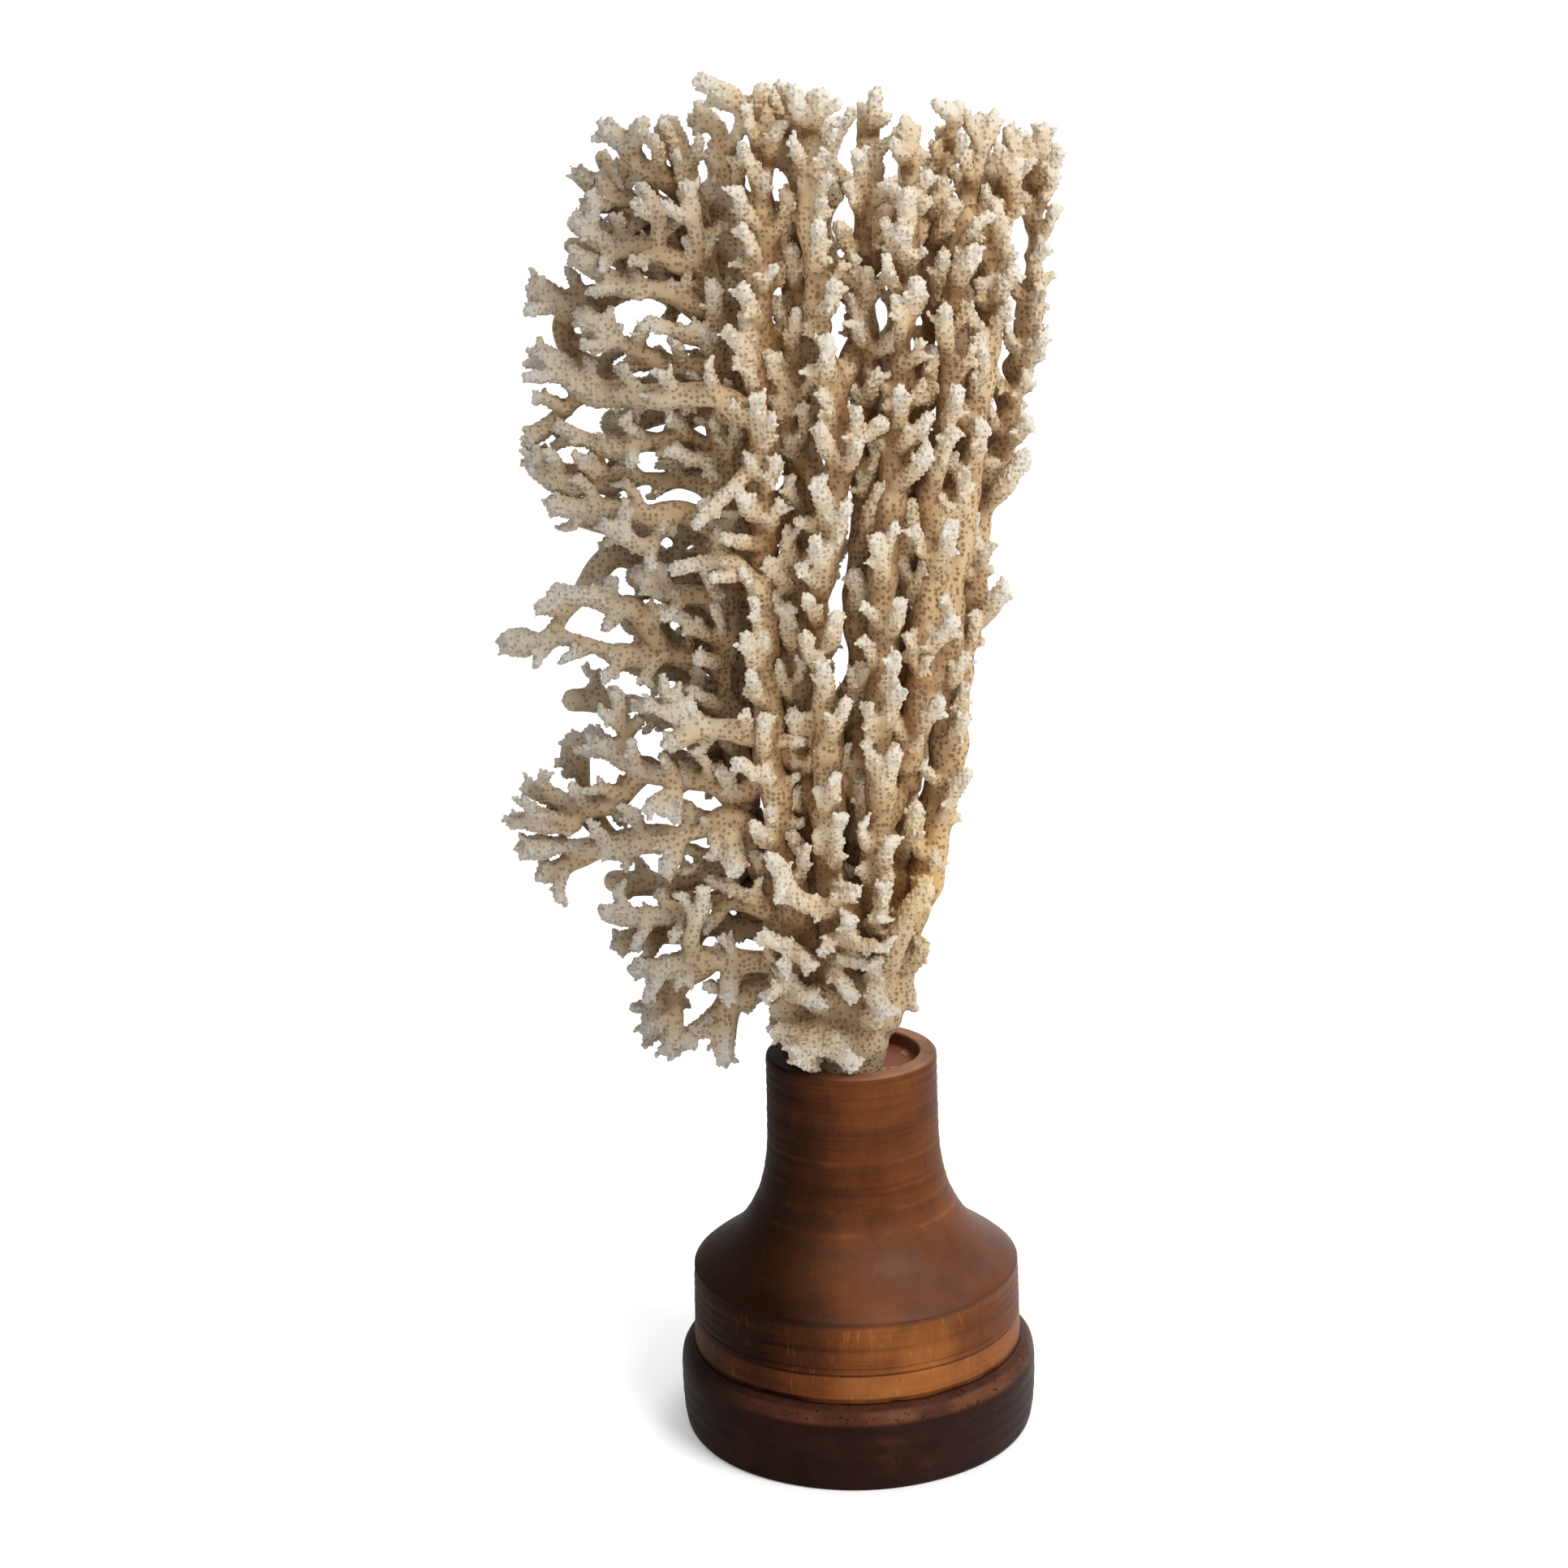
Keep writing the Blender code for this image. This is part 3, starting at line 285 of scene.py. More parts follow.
# %% Places of the front twigs
# (tip x, tip z, root x, root z, radius), in millimetres as seen.
FRONT_TWIGS = [
    (39.5, 227, 31, 206, 3.4), (39.6, 246, 33, 240, 3.6), (52.4, 288, 42, 276, 4.2),
    (59.5, 329, 49, 314, 4.2), (60.7, 341, 54, 336, 3.6), (65.8, 367, 59, 358, 3.6),
    (70.6, 424.5, 64, 414, 3.4), (23.5, 215.5, 20, 199, 4.0), (15.2, 204, 9, 193, 3.6),
    (15.6, 233.5, 11, 219, 4.0), (7.2, 223, 4, 208, 4.0), (26.3, 245, 20, 229, 3.6),
    (30.5, 251, 23, 240, 3.6), (18.5, 255, 12, 240, 3.7), (-3, 227, -6, 216, 3.4),
    (-18, 207, -13, 198, 3.4), (-15.7, 248, -14, 237, 3.4), (-27, 246, -23, 234, 3.4),
    (-6, 263, -6, 252, 3.6), (8.2, 262.5, 5, 250, 3.4), (16.5, 266, 13, 254, 3.4),
    (27.8, 266, 22, 255, 3.6), (39, 265.2, 34, 257, 3.8), (-2.2, 279, -6, 270, 3.8),
    (-17, 282, -15, 268, 4.2), (35.3, 277.3, 29, 267, 3.8), (20, 284, 14, 272, 3.6),
    (33.5, 285, 35, 277, 3.6), (4.5, 294, 5, 282, 3.8), (-21, 298, -14, 290, 3.6),
    (27.2, 297, 22, 284, 3.8), (12, 304, 13, 290, 3.6), (42.5, 311, 42, 296, 4.2),
    (35.2, 308.4, 30, 294, 3.8), (-7, 305, -6, 292, 3.6), (-17, 308, -14, 296, 3.6),
    (23.7, 315.3, 21, 299, 3.8), (13.5, 321, 8, 302, 3.8), (39.3, 324.5, 35, 311, 3.6),
    (-5.8, 323, -5, 309, 4.4), (-5, 341, -1, 330, 3.6), (28.2, 333.2, 20, 322, 3.8),
    (13.5, 343, 5, 336, 3.6), (28.4, 344, 20, 334, 3.4), (45.7, 341, 44, 328, 3.8),
    (36, 338.7, 29, 320, 3.8), (37.6, 351, 33, 338, 3.8), (20.8, 352, 20, 340, 3.4),
    (13, 357.5, 5, 348, 3.4), (45, 367, 46, 354, 3.6), (19.4, 371, 14, 364, 3.4),
    (-3.2, 368, -1, 356, 3.6), (42.7, 376, 47, 364, 3.4), (35.2, 377, 33, 364, 3.4),
    (25.4, 386, 18, 372, 3.6), (11.4, 390, 10, 378, 3.6), (-12.3, 378, -13, 364, 3.6),
    (0.3, 386, -4, 376, 3.4), (-11.8, 397, -12, 385, 3.6), (-5, 404, -5, 390, 3.4),
    (22, 402, 22, 390, 3.4), (43.7, 396, 37, 384, 3.8), (34, 394, 32, 382, 3.4),
    (24.5, 413, 24, 401, 4.0), (38, 409, 33, 398, 3.6), (51.4, 408.5, 51, 396, 3.4),
    (56.5, 388, 52, 377, 3.4), (8, 425, 4, 413, 3.6), (-13.5, 415, -11, 402, 3.4),
    (34.6, 417, 33, 405, 3.4), (-3.6, 445, 2, 434, 3.0), (15.5, 444.5, 12, 432, 3.0),
    (39.2, 440, 36, 426, 2.8), (57.8, 422, 53, 410, 3.2), (-29.5, 415.5, -22, 402, 3.4),
    (-38.5, 387, -38, 374, 3.6), (-27.5, 386, -24, 374, 3.6), (-57.7, 375, -41, 372, 3.4),
    (-33, 371.5, -25, 362, 3.6), (-20.4, 363.5, -14, 350, 3.4), (-26, 350, -23, 336, 3.4),
    (-44.5, 311.5, -26, 336, 3.2), (-31, 320.5, -24, 312, 3.6), (-23, 298, -16, 288, 3.2),
    (-53.9, 283, -38, 272, 3.2), (-31.4, 273.5, -25, 264, 3.4), (-49, 256.5, -38, 250, 3.4),
    (-29.5, 261, -25, 250, 3.4), (-41, 229.5, -33, 217, 3.4), (-34.3, 233.5, -24, 226, 3.2),
    (-30, 211, -22, 205, 3.8), (-24.5, 201, -14, 186, 3.6), (-1.5, 188, -4, 178, 3.8),
    (12.4, 191, 8, 178, 3.6), (25.5, 189, 17, 174, 4.4), (-1.3, 212.5, -6, 202, 3.2),
    (-9.4, 236, -14, 229, 3.2), (3, 316, 0, 300, 3.2), (-16, 325, -13, 316, 3.0),
    (6.1, 335.2, 0, 328, 3.0), (2.6, 404, 9, 394, 3.2), (29, 419, 24, 410, 3.2),
    (-36.5, 307.5, -25, 304, 3.2), (-45, 191.6, -24, 182, 3.2), (-47.3, 267, -38, 268, 3.2),
    (-52, 335.7, -38, 332, 3.2), (0, 250.5, -4, 240, 3.4), (31.2, 364, 28, 352, 3.4),
    (8.2, 373, 4, 366, 3.4),
]

# %% [markdown]
# ## From what is seen to a place in space
#
# The fan isn't flat: its middle bulges towards the viewer. `placed` slides each seen point along its line of
# sight to its own depth, so a limb keeps its outline in the photograph whatever its depth. `seen` is the way
# back, and is used to find which rib a twig's root is seen on.

# %% Seen points and real places
BOW, BOW_CENTRE, BOW_HALF_WIDTH = 12.0, 10.0, 52.0
BOW_START, BOW_FULL = 165.0, 235.0


def bow_at(x, z):
    """The bulge: full between BOW_FULL and the top, falling to nothing at the fan's edges as a parabola."""
    share = np.clip((z - BOW_START) / (BOW_FULL - BOW_START), 0.0, 1.0)
    across = (x - BOW_CENTRE) / BOW_HALF_WIDTH
    return BOW * share * np.maximum(0.0, 1.0 - across**2)


def placed(points):
    """Each point moves along the line from the eye through (x, 0, z) until it lies at its own depth."""
    x, depth, z = np.array(points, float).reshape(-1, 3).T
    on_plane = np.stack([x, 0.0 * x, z], axis=1)
    share = (depth - bow_at(x, z) - EYE[1]) / -EYE[1]
    return EYE + (on_plane - EYE) * share[:, None]


def seen(places):
    """Where places appear on the plane y = 0, as seen from the eye."""
    share = -EYE[1] / (places[:, 1] - EYE[1])
    return EYE + (places - EYE) * share[:, None]


print("top of the front rib:", placed(RIBS["rib_middle"][-1]).round(1))

# %% [markdown]
# ## A limb
#
# A limb is a circle carried along a smooth route. It could be a Blender curve with a bevel, but then
# its radius, lumps and rounded ends would be out of reach. Here a limb is a set of stations a
# millimetre apart. Each station holds its centre, the direction of growth, two directions across it, a
# radius, and how white and how nubbly the coral is there. The same stations shape the surface first and
# tell every surface point its place later.

# %% Stations along a route
STATION_STEP = 1.0
SPAN_POINTS = 8
GOLDEN_ANGLE = math.pi * (3.0 - math.sqrt(5.0))


def unit(vectors):
    """Vectors divided by their own length."""
    return vectors / np.maximum(np.linalg.norm(vectors, axis=-1, keepdims=True), 1e-9)


def smooth_step(low, high, value):
    """0 below low, 1 above high, and the cubic 3t^2 - 2t^3 between them."""
    t = np.clip((value - low) / (high - low), 0.0, 1.0)
    return t * t * (3.0 - 2.0 * t)


def curve_through(points):
    """The Catmull-Rom cubic through the points, cut again into even steps of its own length."""
    points = np.asarray(points, float)
    ends = np.vstack([2.0 * points[0] - points[1], points, 2.0 * points[-1] - points[-2]])
    a, b, c, d = (ends[k : len(ends) - 3 + k, None] for k in range(4))
    t = np.linspace(0.0, 1.0, SPAN_POINTS, endpoint=False)[None, :, None]
    cubic = 2.0 * b + (c - a) * t + (2.0 * a - 5.0 * b + 4.0 * c - d) * t**2 + (3.0 * (b - c) + d - a) * t**3
    fine = np.vstack([0.5 * cubic.reshape(-1, 3), points[-1]])
    length = np.append(0.0, np.cumsum(np.linalg.norm(np.diff(fine, axis=0), axis=1)))
    even = np.linspace(0.0, length[-1], max(4, round(length[-1] / STATION_STEP) + 1))
    return np.stack([np.interp(even, length, fine[:, k]) for k in range(3)], axis=1), even


SWAY, SWAY_START, SWAY_ACROSS, SWAY_BESIDE = 0.8, 12.0, 4.7, 7.9
SHORT_WAVE, SHORT_LENGTH, LONG_WAVE, LONG_LENGTH = 0.05, 1.9, 0.06, 3.7
WHITE_POWER = 1.8


def limb(points, root_radius, tip_radius, kind, number, white=(0.0, 1.0), nubs=(0.0, 1.0)):
    """Stations of one limb. Its middle sways a little to both sides of the smooth route, and its radius is an
    even taper x (1 + two slow waves). white and nubs are (value at the root, value at the tip)."""
    centre, along = curve_through(points)
    length = along[-1]
    share = along / length
    phase = number * GOLDEN_ANGLE
    reference = np.eye(3)[np.argmin(np.abs(centre[-1] - centre[0]))]
    ahead = unit(np.gradient(centre, axis=0))
    across = unit(reference - ahead * (ahead @ reference)[:, None])
    beside = np.cross(ahead, across)
    near, far = np.sin(along / SWAY_ACROSS + phase), np.sin(along / SWAY_BESIDE + 3.0 * phase)
    sway = near[:, None] * across + far[:, None] * beside
    centre = centre + SWAY * smooth_step(0.0, SWAY_START, along)[:, None] * sway
    ahead = unit(np.gradient(centre, axis=0))
    across = unit(reference - ahead * (ahead @ reference)[:, None])
    taper = root_radius + (tip_radius - root_radius) * share
    short_wave, long_wave = np.sin(along / SHORT_LENGTH + phase), np.sin(along / LONG_LENGTH + 2.0 * phase)
    waves = SHORT_WAVE * short_wave + LONG_WAVE * long_wave
    return {
        "kind": kind, "number": number, "length": length, "centre": centre, "along": along, "ahead": ahead,
        "across": across, "over": np.cross(ahead, across), "radius": taper * (1.0 + waves),
        "white": white[0] + (white[1] - white[0]) * share**WHITE_POWER,
        "nubs": nubs[0] + (nubs[1] - nubs[0]) * share,
    }


# (amount, reach) of the widening at the root.
FLARES = {
    "arm": (0.35, 4.0), "twig": (0.35, 4.5), "foot": (0.3, 4.0), "sprig": (0.4, 3.0), "front": (0.4, 4.0),
}


def flare(one, manner):
    """Widens a limb at its root, where it joins its parent: radius x (1 + amount x e^(-distance / reach))."""
    amount, reach = FLARES[manner]
    one["radius"] = one["radius"] * (1.0 + amount * np.exp(-one["along"] / reach))
    return one


def at(one, distance):
    """The station nearest to a distance along a limb."""
    return int(np.clip(round(distance / one["length"] * (len(one["along"]) - 1)), 0, len(one["along"]) - 1))


def sideways(one, station, angle):
    """The direction square to the limb at a station, turned round it by an angle."""
    return math.cos(angle) * one["across"][station] + math.sin(angle) * one["over"][station]


# %% [markdown]
# ## Ribs, arms and the foot
#
# The ribs come from one foot and keep nearly the same thickness up to their tips. Arms and their prongs
# follow the same rule with radii of their own. Limbs near the viewer are the nubbly, sun-bleached ones, and
# the limbs behind them are smooth and brown with open pores, so nubbliness is taken from a limb's own depth.
#
# The limbs stand so close that they nearly close the fan. Light passes only through small gaps, each given as
# an ellipse, and a limb is narrowed where it would cover one.

# %% Gaps between the limbs
# (x, z, width, height), as seen.
GAPS = np.array([
    (5.3, 426.3, 3, 4), (3.2, 408, 5, 8), (20.5, 419, 4, 6), (45, 420.3, 4, 8), (-15.8, 420.5, 4, 6),
    (19.3, 383, 3, 5), (18, 371.5, 4, 7), (62, 396, 3, 7), (55, 376, 2.5, 18), (54, 360, 2.5, 16),
    (-0.6, 369, 3, 5), (32, 366, 2, 4), (31, 355, 2, 5), (16.3, 358, 2, 4), (29.5, 336, 2, 4),
    (13.7, 341.5, 2, 4), (-5.5, 331, 3, 9), (24, 323, 2, 6), (1, 297, 2.4, 10), (-3, 283, 2, 4),
    (-2.3, 263, 4, 11), (18, 208, 2, 12), (-0.7, 201.5, 2.5, 4), (-60, 382, 14, 3), (-60, 371, 12, 2.5),
    (-82, 345, 12, 6), (-57, 343, 6, 3), (-44, 342, 4, 3), (-60, 329, 6, 2.5), (-51, 321, 5, 3),
    (-57, 306, 4, 3), (-50, 302, 3, 3), (-46, 297, 4, 3), (-85, 277, 18, 8), (-54, 279, 5, 3),
    (-66, 256, 12, 2.5), (-41, 262, 4, 3), (-80, 228, 7, 4), (-66, 222, 5, 3), (-57, 215, 4, 3),
    (-46, 219, 4, 3), (-90, 209, 10, 3), (-50, 205, 8, 2), (-47, 187, 5, 3), (-47, 171, 5, 3),
    (-52, 146, 6, 4),
])
LEAST_RADIUS, NARROWING_REACH = 2.2, 5


def room_beside_gaps(centre):
    """Distance from each station to the edge of the nearest gap: to its centre, less the ellipse's radius
    1 / sqrt((cos / half width)^2 + (sin / half height)^2) in that direction."""
    away = seen(centre)[:, None, [0, 2]] - GAPS[:, :2]
    distance = np.linalg.norm(away, axis=2)
    toward = away / np.maximum(distance, 0.01)[..., None]
    edge = 1.0 / np.linalg.norm(toward / (GAPS[:, 2:] / 2.0), axis=2)
    return (distance - edge).min(axis=1)


def evened(values, reach):
    """Each value replaced by the mean over this many stations to each side."""
    weights = np.ones(2 * reach + 1) / (2 * reach + 1)
    return np.convolve(np.pad(values, reach, mode="edge"), weights, mode="valid")


def narrowed(one):
    """Holds a limb back from the gaps. The limit is its least value near each station, evened out along the
    limb, so the limb narrows and widens gently."""
    room = np.maximum(room_beside_gaps(one["centre"]), LEAST_RADIUS)
    reach = max(1, min(NARROWING_REACH, len(room) // 4))
    padded = np.pad(room, reach, mode="edge")
    least = np.lib.stride_tricks.sliding_window_view(padded, 2 * reach + 1).min(axis=1)
    one["radius"] = np.minimum(one["radius"], evened(least, reach))
    return one


# %% Ribs and arms
RIB_ROOT_RADIUS, RIB_TIP_RADIUS = 5.4, 4.3
RIB_WHITEST, RIB_NUBBLIEST = 0.75, 0.9
ARM_FULLNESS = 0.92
TOP_TAPER, EDGE_SWELLING = 0.2, 0.25
limbs = {}
counter = 0


def next_number():
    """A number of its own for every limb, from which its waves and turns are worked out."""
    global counter
    counter += 1
    return counter


def nubbliness(depth):
    """1 for a limb in front of the middle plane, falling to 0.15 for one 14 mm behind it."""
    return 1.0 - 0.85 * float(smooth_step(-2.0, 14.0, depth))


for name, points in RIBS.items():
    rib = limb(placed(points), RIB_ROOT_RADIUS, RIB_TIP_RADIUS, "rib", next_number())
    from_tip = rib["length"] - rib["along"]
    rib["white"] = RIB_WHITEST * (1.0 - smooth_step(2.0, 60.0, from_tip))
    rib["nubs"] = RIB_NUBBLIEST * (1.0 - smooth_step(6.0, 30.0, from_tip))
    rib["radius"] *= 1.0 - TOP_TAPER * (1.0 - smooth_step(0.0, 30.0, from_tip))
    if name == "rib_right_edge":
        rib["radius"] *= 1.0 + EDGE_SWELLING * (1.0 - smooth_step(80.0, 170.0, rib["along"]))
    limbs[name] = [narrowed(rib)]

for name, parts in ARMS.items():
    limbs[name] = []
    for points, root_radius, tip_radius in parts:
        amount = nubbliness(np.mean([depth for _, depth, _ in points]))
        arm = limb(
            placed(points), root_radius * ARM_FULLNESS, tip_radius * ARM_FULLNESS, "arm", next_number(),
            white=(0.15 * amount, 0.35 + 0.6 * amount), nubs=(-0.35, 0.1 + 0.95 * amount),
        )
        limbs[name].append(narrowed(flare(arm, "arm")))
print("ribs and arms:", len(limbs))

# %% [markdown]
# Ribs that stand side by side don't stay apart: every few centimetres one forks and the fork runs into its
# neighbour. On the left, short brown limbs lie behind the arms and close most of the spaces between them.
# Both are set by rule, and a limb that would cross one of the gaps is left out.

# %% Forks between the ribs, and the limbs behind the arms
FAN_ORDER = [
    "rib_left_edge", "rib_left_front", "rib_left_back", "rib_middle_left", "rib_middle", "rib_middle_front",
    "rib_middle_right", "rib_right_inner", "rib_right_front", "rib_right_edge",
]
BACK_ORDER = ["rib_back_left", "rib_back_middle_left", "rib_back_middle_right", "rib_back_right"]
FORK_HEIGHTS = [*range(192, 400, 27), 398, 409, 419]
FORK_TOP, FORK_RISE, TOP_RISE, FORK_SLOPE = 390.0, 17.0, 8.0, 1.0
FORK_WIDEST, BACK_WIDEST, FORK_SAG, FORK_TAPER = 17.0, 27.0, 2.0, 0.82
HIDDEN_START, HIDDEN_STEP, HIDDEN_TOP, HIDDEN_REACH = 192.0, 7.0, 418.0, 30.0
HIDDEN_RADII, HIDDEN_ROOM = (4.2, 3.4), 1.0


def station_at_height(one, height):
    """The station of an upright limb that is nearest to a height."""
    return int(np.abs(one["centre"][:, 2] - height).argmin())


def wobble(number, share):
    """A value from -1 to 1 that looks random but is the same each time: the sine of a large multiple."""
    return math.sin(number * 12.9898 + share * 78.233)


forks = 0
pairs = list(zip(FAN_ORDER, FAN_ORDER[1:])) + list(zip(BACK_ORDER, BACK_ORDER[1:]))
for pair, (left, right) in enumerate(pairs):
    for step, base_height in enumerate(FORK_HEIGHTS):
        start, end = (left, right) if (step + pair) % 2 else (right, left)
        near_top = base_height > FORK_TOP
        height = base_height + (3.0 * wobble(pair, step) if near_top else 10.0 * (pair % 3))
        if max(RIBS[left][0][2], RIBS[right][0][2]) > height:
            continue
        root = limbs[start][0]["centre"][station_at_height(limbs[start][0], height)]
        beside = limbs[end][0]["centre"][station_at_height(limbs[end][0], height)]
        apart = np.linalg.norm(beside - root)
        if apart > (BACK_WIDEST if left in BACK_ORDER else FORK_WIDEST):
            continue
        rise = max(TOP_RISE if near_top else FORK_RISE, FORK_SLOPE * apart)
        tip = limbs[end][0]["centre"][station_at_height(limbs[end][0], height + rise)]
        thick, pale, rough = (3.1, 0.35, 0.6) if near_top else (4.4, 0.05, 0.0)
        bend = (root + tip) / 2 + (0, 0, -FORK_SAG)
        fork = limb(
            [root, bend, tip], thick, thick * FORK_TAPER, "fork", next_number(),
            white=(pale, pale), nubs=(rough, rough),
        )
        if room_beside_gaps(fork["centre"]).min() > LEAST_RADIUS:
            limbs[start].append(narrowed(fork))
            forks += 1

hidden = 0
back_rib = limbs["rib_back_left"][0]
for step in range(int((HIDDEN_TOP - HIDDEN_START) / HIDDEN_STEP)):
    height = HIDDEN_START + HIDDEN_STEP * step
    root = back_rib["centre"][station_at_height(back_rib, height)]
    reach = HIDDEN_REACH * (1.0 + 0.3 * wobble(3, step))
    depth = -14.0 - 5.0 * wobble(7, step)
    tip = root + (-reach, depth, 7.0 + 3.0 * wobble(5, step))
    arm = limb(
        [root, root + (-0.5 * reach, 0.3 * depth, 1.0), tip], *HIDDEN_RADII, "arm", next_number(),
        white=(0, 0.45), nubs=(-1, 0.5),
    )
    if room_beside_gaps(arm["centre"]).min() > HIDDEN_ROOM:
        limbs["rib_back_left"].append(narrowed(arm))
        hidden += 1
print("forks:", forks, "hidden limbs:", hidden)

# %% [markdown]
# The foot is a trunk that ends flat in the recess, with the stems that become the ribs. It is one continuous
# cream-coloured mass with lumps at its base, so its limbs are thick, overlap deeply and stay fairly smooth.
# The short twigs on its front end in white heads.

# %% Foot
RECESS_FLOOR = 126.4
FOOT_BASE = RECESS_FLOOR + 0.3
TRUNK = ([(-3.5, 0, 126.7), (-3.5, 0, 138), (-3, 3, 152), (-2, 7, 168), (-2, 10, 184)], 15.0, 13.0)
FOOT_STEMS = [
    ([(3, 2, 138), (11, 4, 154), (15.5, 5, 170), (20, 6, 186)], 10.5, 7.2),
    ([(-9, 2, 140), (-12, 3, 156), (-15, 4, 170), (-20, 6, 183)], 11.0, 7.0),
    ([(0, 8, 142), (-2, 13, 158), (-2, 17, 172), (-2, 19, 184)], 10.5, 8.5),
    ([(-2, 0, 152), (0, 0, 168), (0, 0, 184)], 11.0, 8.0),
]
FOOT_LUMPS = [
    ([(-8, -6, 140), (-14, -12, 136), (-17, -14, 135)], 7.0, 5.2),
    ([(0, -7, 138), (-3, -14, 134), (-4, -16, 133)], 6.4, 4.4),
    ([(-6, -6, 152), (-10, -12, 150)], 6.0, 4.6),
    ([(4, -6, 146), (7, -12, 143)], 6.0, 4.6),
    ([(-12, 4, 140), (-24, 3, 142)], 4.4, 3.2),
    ([(-12, 0, 150), (-19, -5, 149), (-23, -6, 146)], 4.4, 3.2),
    ([(0, 10, 146), (4, 22, 152)], 5.0, 3.4),
    ([(-8, 12, 158), (-12, 26, 166)], 4.8, 3.0),
    ([(8, 10, 164), (12, 22, 172)], 4.6, 3.0),
]
# The foot's own twigs as seen in the photograph: route, radius at the root and radius at the tip.
FOOT_TWIGS = [
    ([(-1.2, -6, 180), (-9.3, -16, 183), (-17.3, -21, 186), (-24.6, -22, 198)], 3.4, 2.4),
    ([(-6.6, -15, 181), (-0.2, -22, 186), (1.8, -24, 187)], 2.8, 2.0),
    ([(-21.6, -20, 191), (-22.2, -26, 188)], 2.2, 1.7),
    ([(8.5, -6, 171), (9.5, -15, 179), (12.4, -18, 189)], 2.6, 1.7),
    ([(9.5, -14, 178), (10.6, -21, 178)], 1.8, 1.5),
    ([(8.2, -6, 155), (13.8, -14, 166), (19.8, -16, 177), (25.4, -16, 187)], 5.2, 3.2),
    ([(-3.4, -6, 164), (-1.4, -18, 172), (0.5, -24, 177)], 3.2, 2.2),
    ([(-1.4, -15, 171), (5.7, -22, 168), (12.7, -24, 168)], 2.4, 1.5),
    ([(-1.4, -15, 172), (-6, -22, 170), (-9.2, -24, 167)], 2.3, 1.5),
    ([(-7, -9, 164), (-1.6, -18, 163), (4, -21, 162)], 3.0, 1.9),
    ([(-15.2, -6, 163), (-19.1, -18, 169), (-28, -22, 172)], 3.2, 2.1),
    ([(-19.6, -15, 168), (-16, -22, 165), (-12.8, -24, 162)], 2.6, 1.7),
    ([(-16.4, -6, 151), (-20.8, -18, 157), (-20.6, -22, 161)], 3.2, 2.3),
    ([(-20.8, -16, 156), (-24.9, -22, 153), (-28, -22, 152)], 2.6, 1.7),
    ([(-6.2, -9, 162), (-3.6, -20, 156), (-0.5, -22, 151)], 3.0, 2.2),
    ([(9, -6, 153), (8.2, -18, 157), (9.8, -21, 163)], 3.4, 1.8),
    ([(8.2, -15, 156), (9, -22, 151), (12, -24, 146)], 3.4, 2.4),
    ([(-20.9, -9, 153), (-15.5, -18, 150), (-11.4, -20, 148)], 3.0, 2.0),
    ([(-9.4, -6, 140), (-14.1, -16, 135), (-16, -21, 132)], 5.6, 4.6),
    ([(-14.1, -15, 134), (-13.1, -20, 128), (-12.3, -20, 125)], 3.2, 2.0),
    ([(-9.4, -6, 138), (-5, -20, 133), (0.8, -24, 128)], 4.2, 3.0),
    ([(-14.8, -4, 143), (-20.3, -12, 140), (-25.3, -15, 139)], 3.4, 1.7),
    ([(17.1, 4, 151), (18.2, 0, 160), (23.7, -2, 168)], 4.6, 3.0),
]
# A twig of the foot that is thicker than STOUT_TWIG is less white and has fewer knobs.
FOOT_WHITE, STOUT_TWIG = 0.12, 4.4

# Limbs deep behind the low arms, which close the view between them.
FOOT_DEEP = [
    ([(-10, 10, 156), (-26, 13, 158), (-40, 13, 161)], 5.0, 3.2),
    ([(-12, 10, 164), (-30, 14, 174), (-50, 14, 178)], 5.0, 3.4),
    ([(-12, 10, 172), (-28, 14, 186), (-46, 15, 196)], 5.0, 3.4),
    ([(-12, 10, 176), (-22, 15, 194), (-30, 17, 208)], 5.0, 3.4),
    ([(-28, 13, 182), (-44, 15, 187), (-60, 13, 186)], 4.2, 3.0),
]

trunk_route = placed(TRUNK[0])
trunk_route[0] = trunk_route[1] * (1, 1, 0) + (0, 0, FOOT_BASE + 6.0)
trunk_looks = {"white": (FOOT_WHITE, 0.05), "nubs": (0.1, 0.0)}
foot = [limb(trunk_route, TRUNK[1], TRUNK[2], "trunk", next_number(), **trunk_looks)]
for points, root_radius, tip_radius in FOOT_STEMS:
    foot.append(limb(placed(points), root_radius, tip_radius, "trunk", next_number(), **trunk_looks))
for points, root_radius, tip_radius in FOOT_LUMPS:
    lump = limb(placed(points), root_radius, tip_radius, "lump", next_number(), (0.15, 0.6), (0.2, 0.9))
    foot.append(flare(lump, "foot"))
for points, root_radius, tip_radius in FOOT_DEEP:
    deep = limb(placed(points), root_radius, tip_radius, "trunk", next_number(), (0.0, 0.3), (-0.5, 0.6))
    foot.append(narrowed(deep))
for points, root_radius, tip_radius in FOOT_TWIGS:
    places = placed(points)
    places[:, 2] = np.maximum(places[:, 2], FOOT_BASE + tip_radius)
    kind, whitest = ("twig", 0.45) if root_radius > STOUT_TWIG else ("foot twig", 1.0)
    twig = limb(places, root_radius, tip_radius, kind, next_number(), (FOOT_WHITE + 0.2, whitest), (0.1, 1.2))
    foot.append(flare(twig, "foot"))
limbs["coral_foot"] = foot
print("foot limbs:", len(foot))

# %% [markdown]
# ## Twigs
#
# A twig leaves a rib every centimetre or so, leans up and out of the fan, and ends in a white head. Its root
# is found on the rib that it is seen on, and its tip stands a fixed reach nearer to the viewer. The far side
# has rows of its own, set by a rule, because no photograph shows them: each next twig is turned round the
# rib, and smaller ones stand unevenly between them.

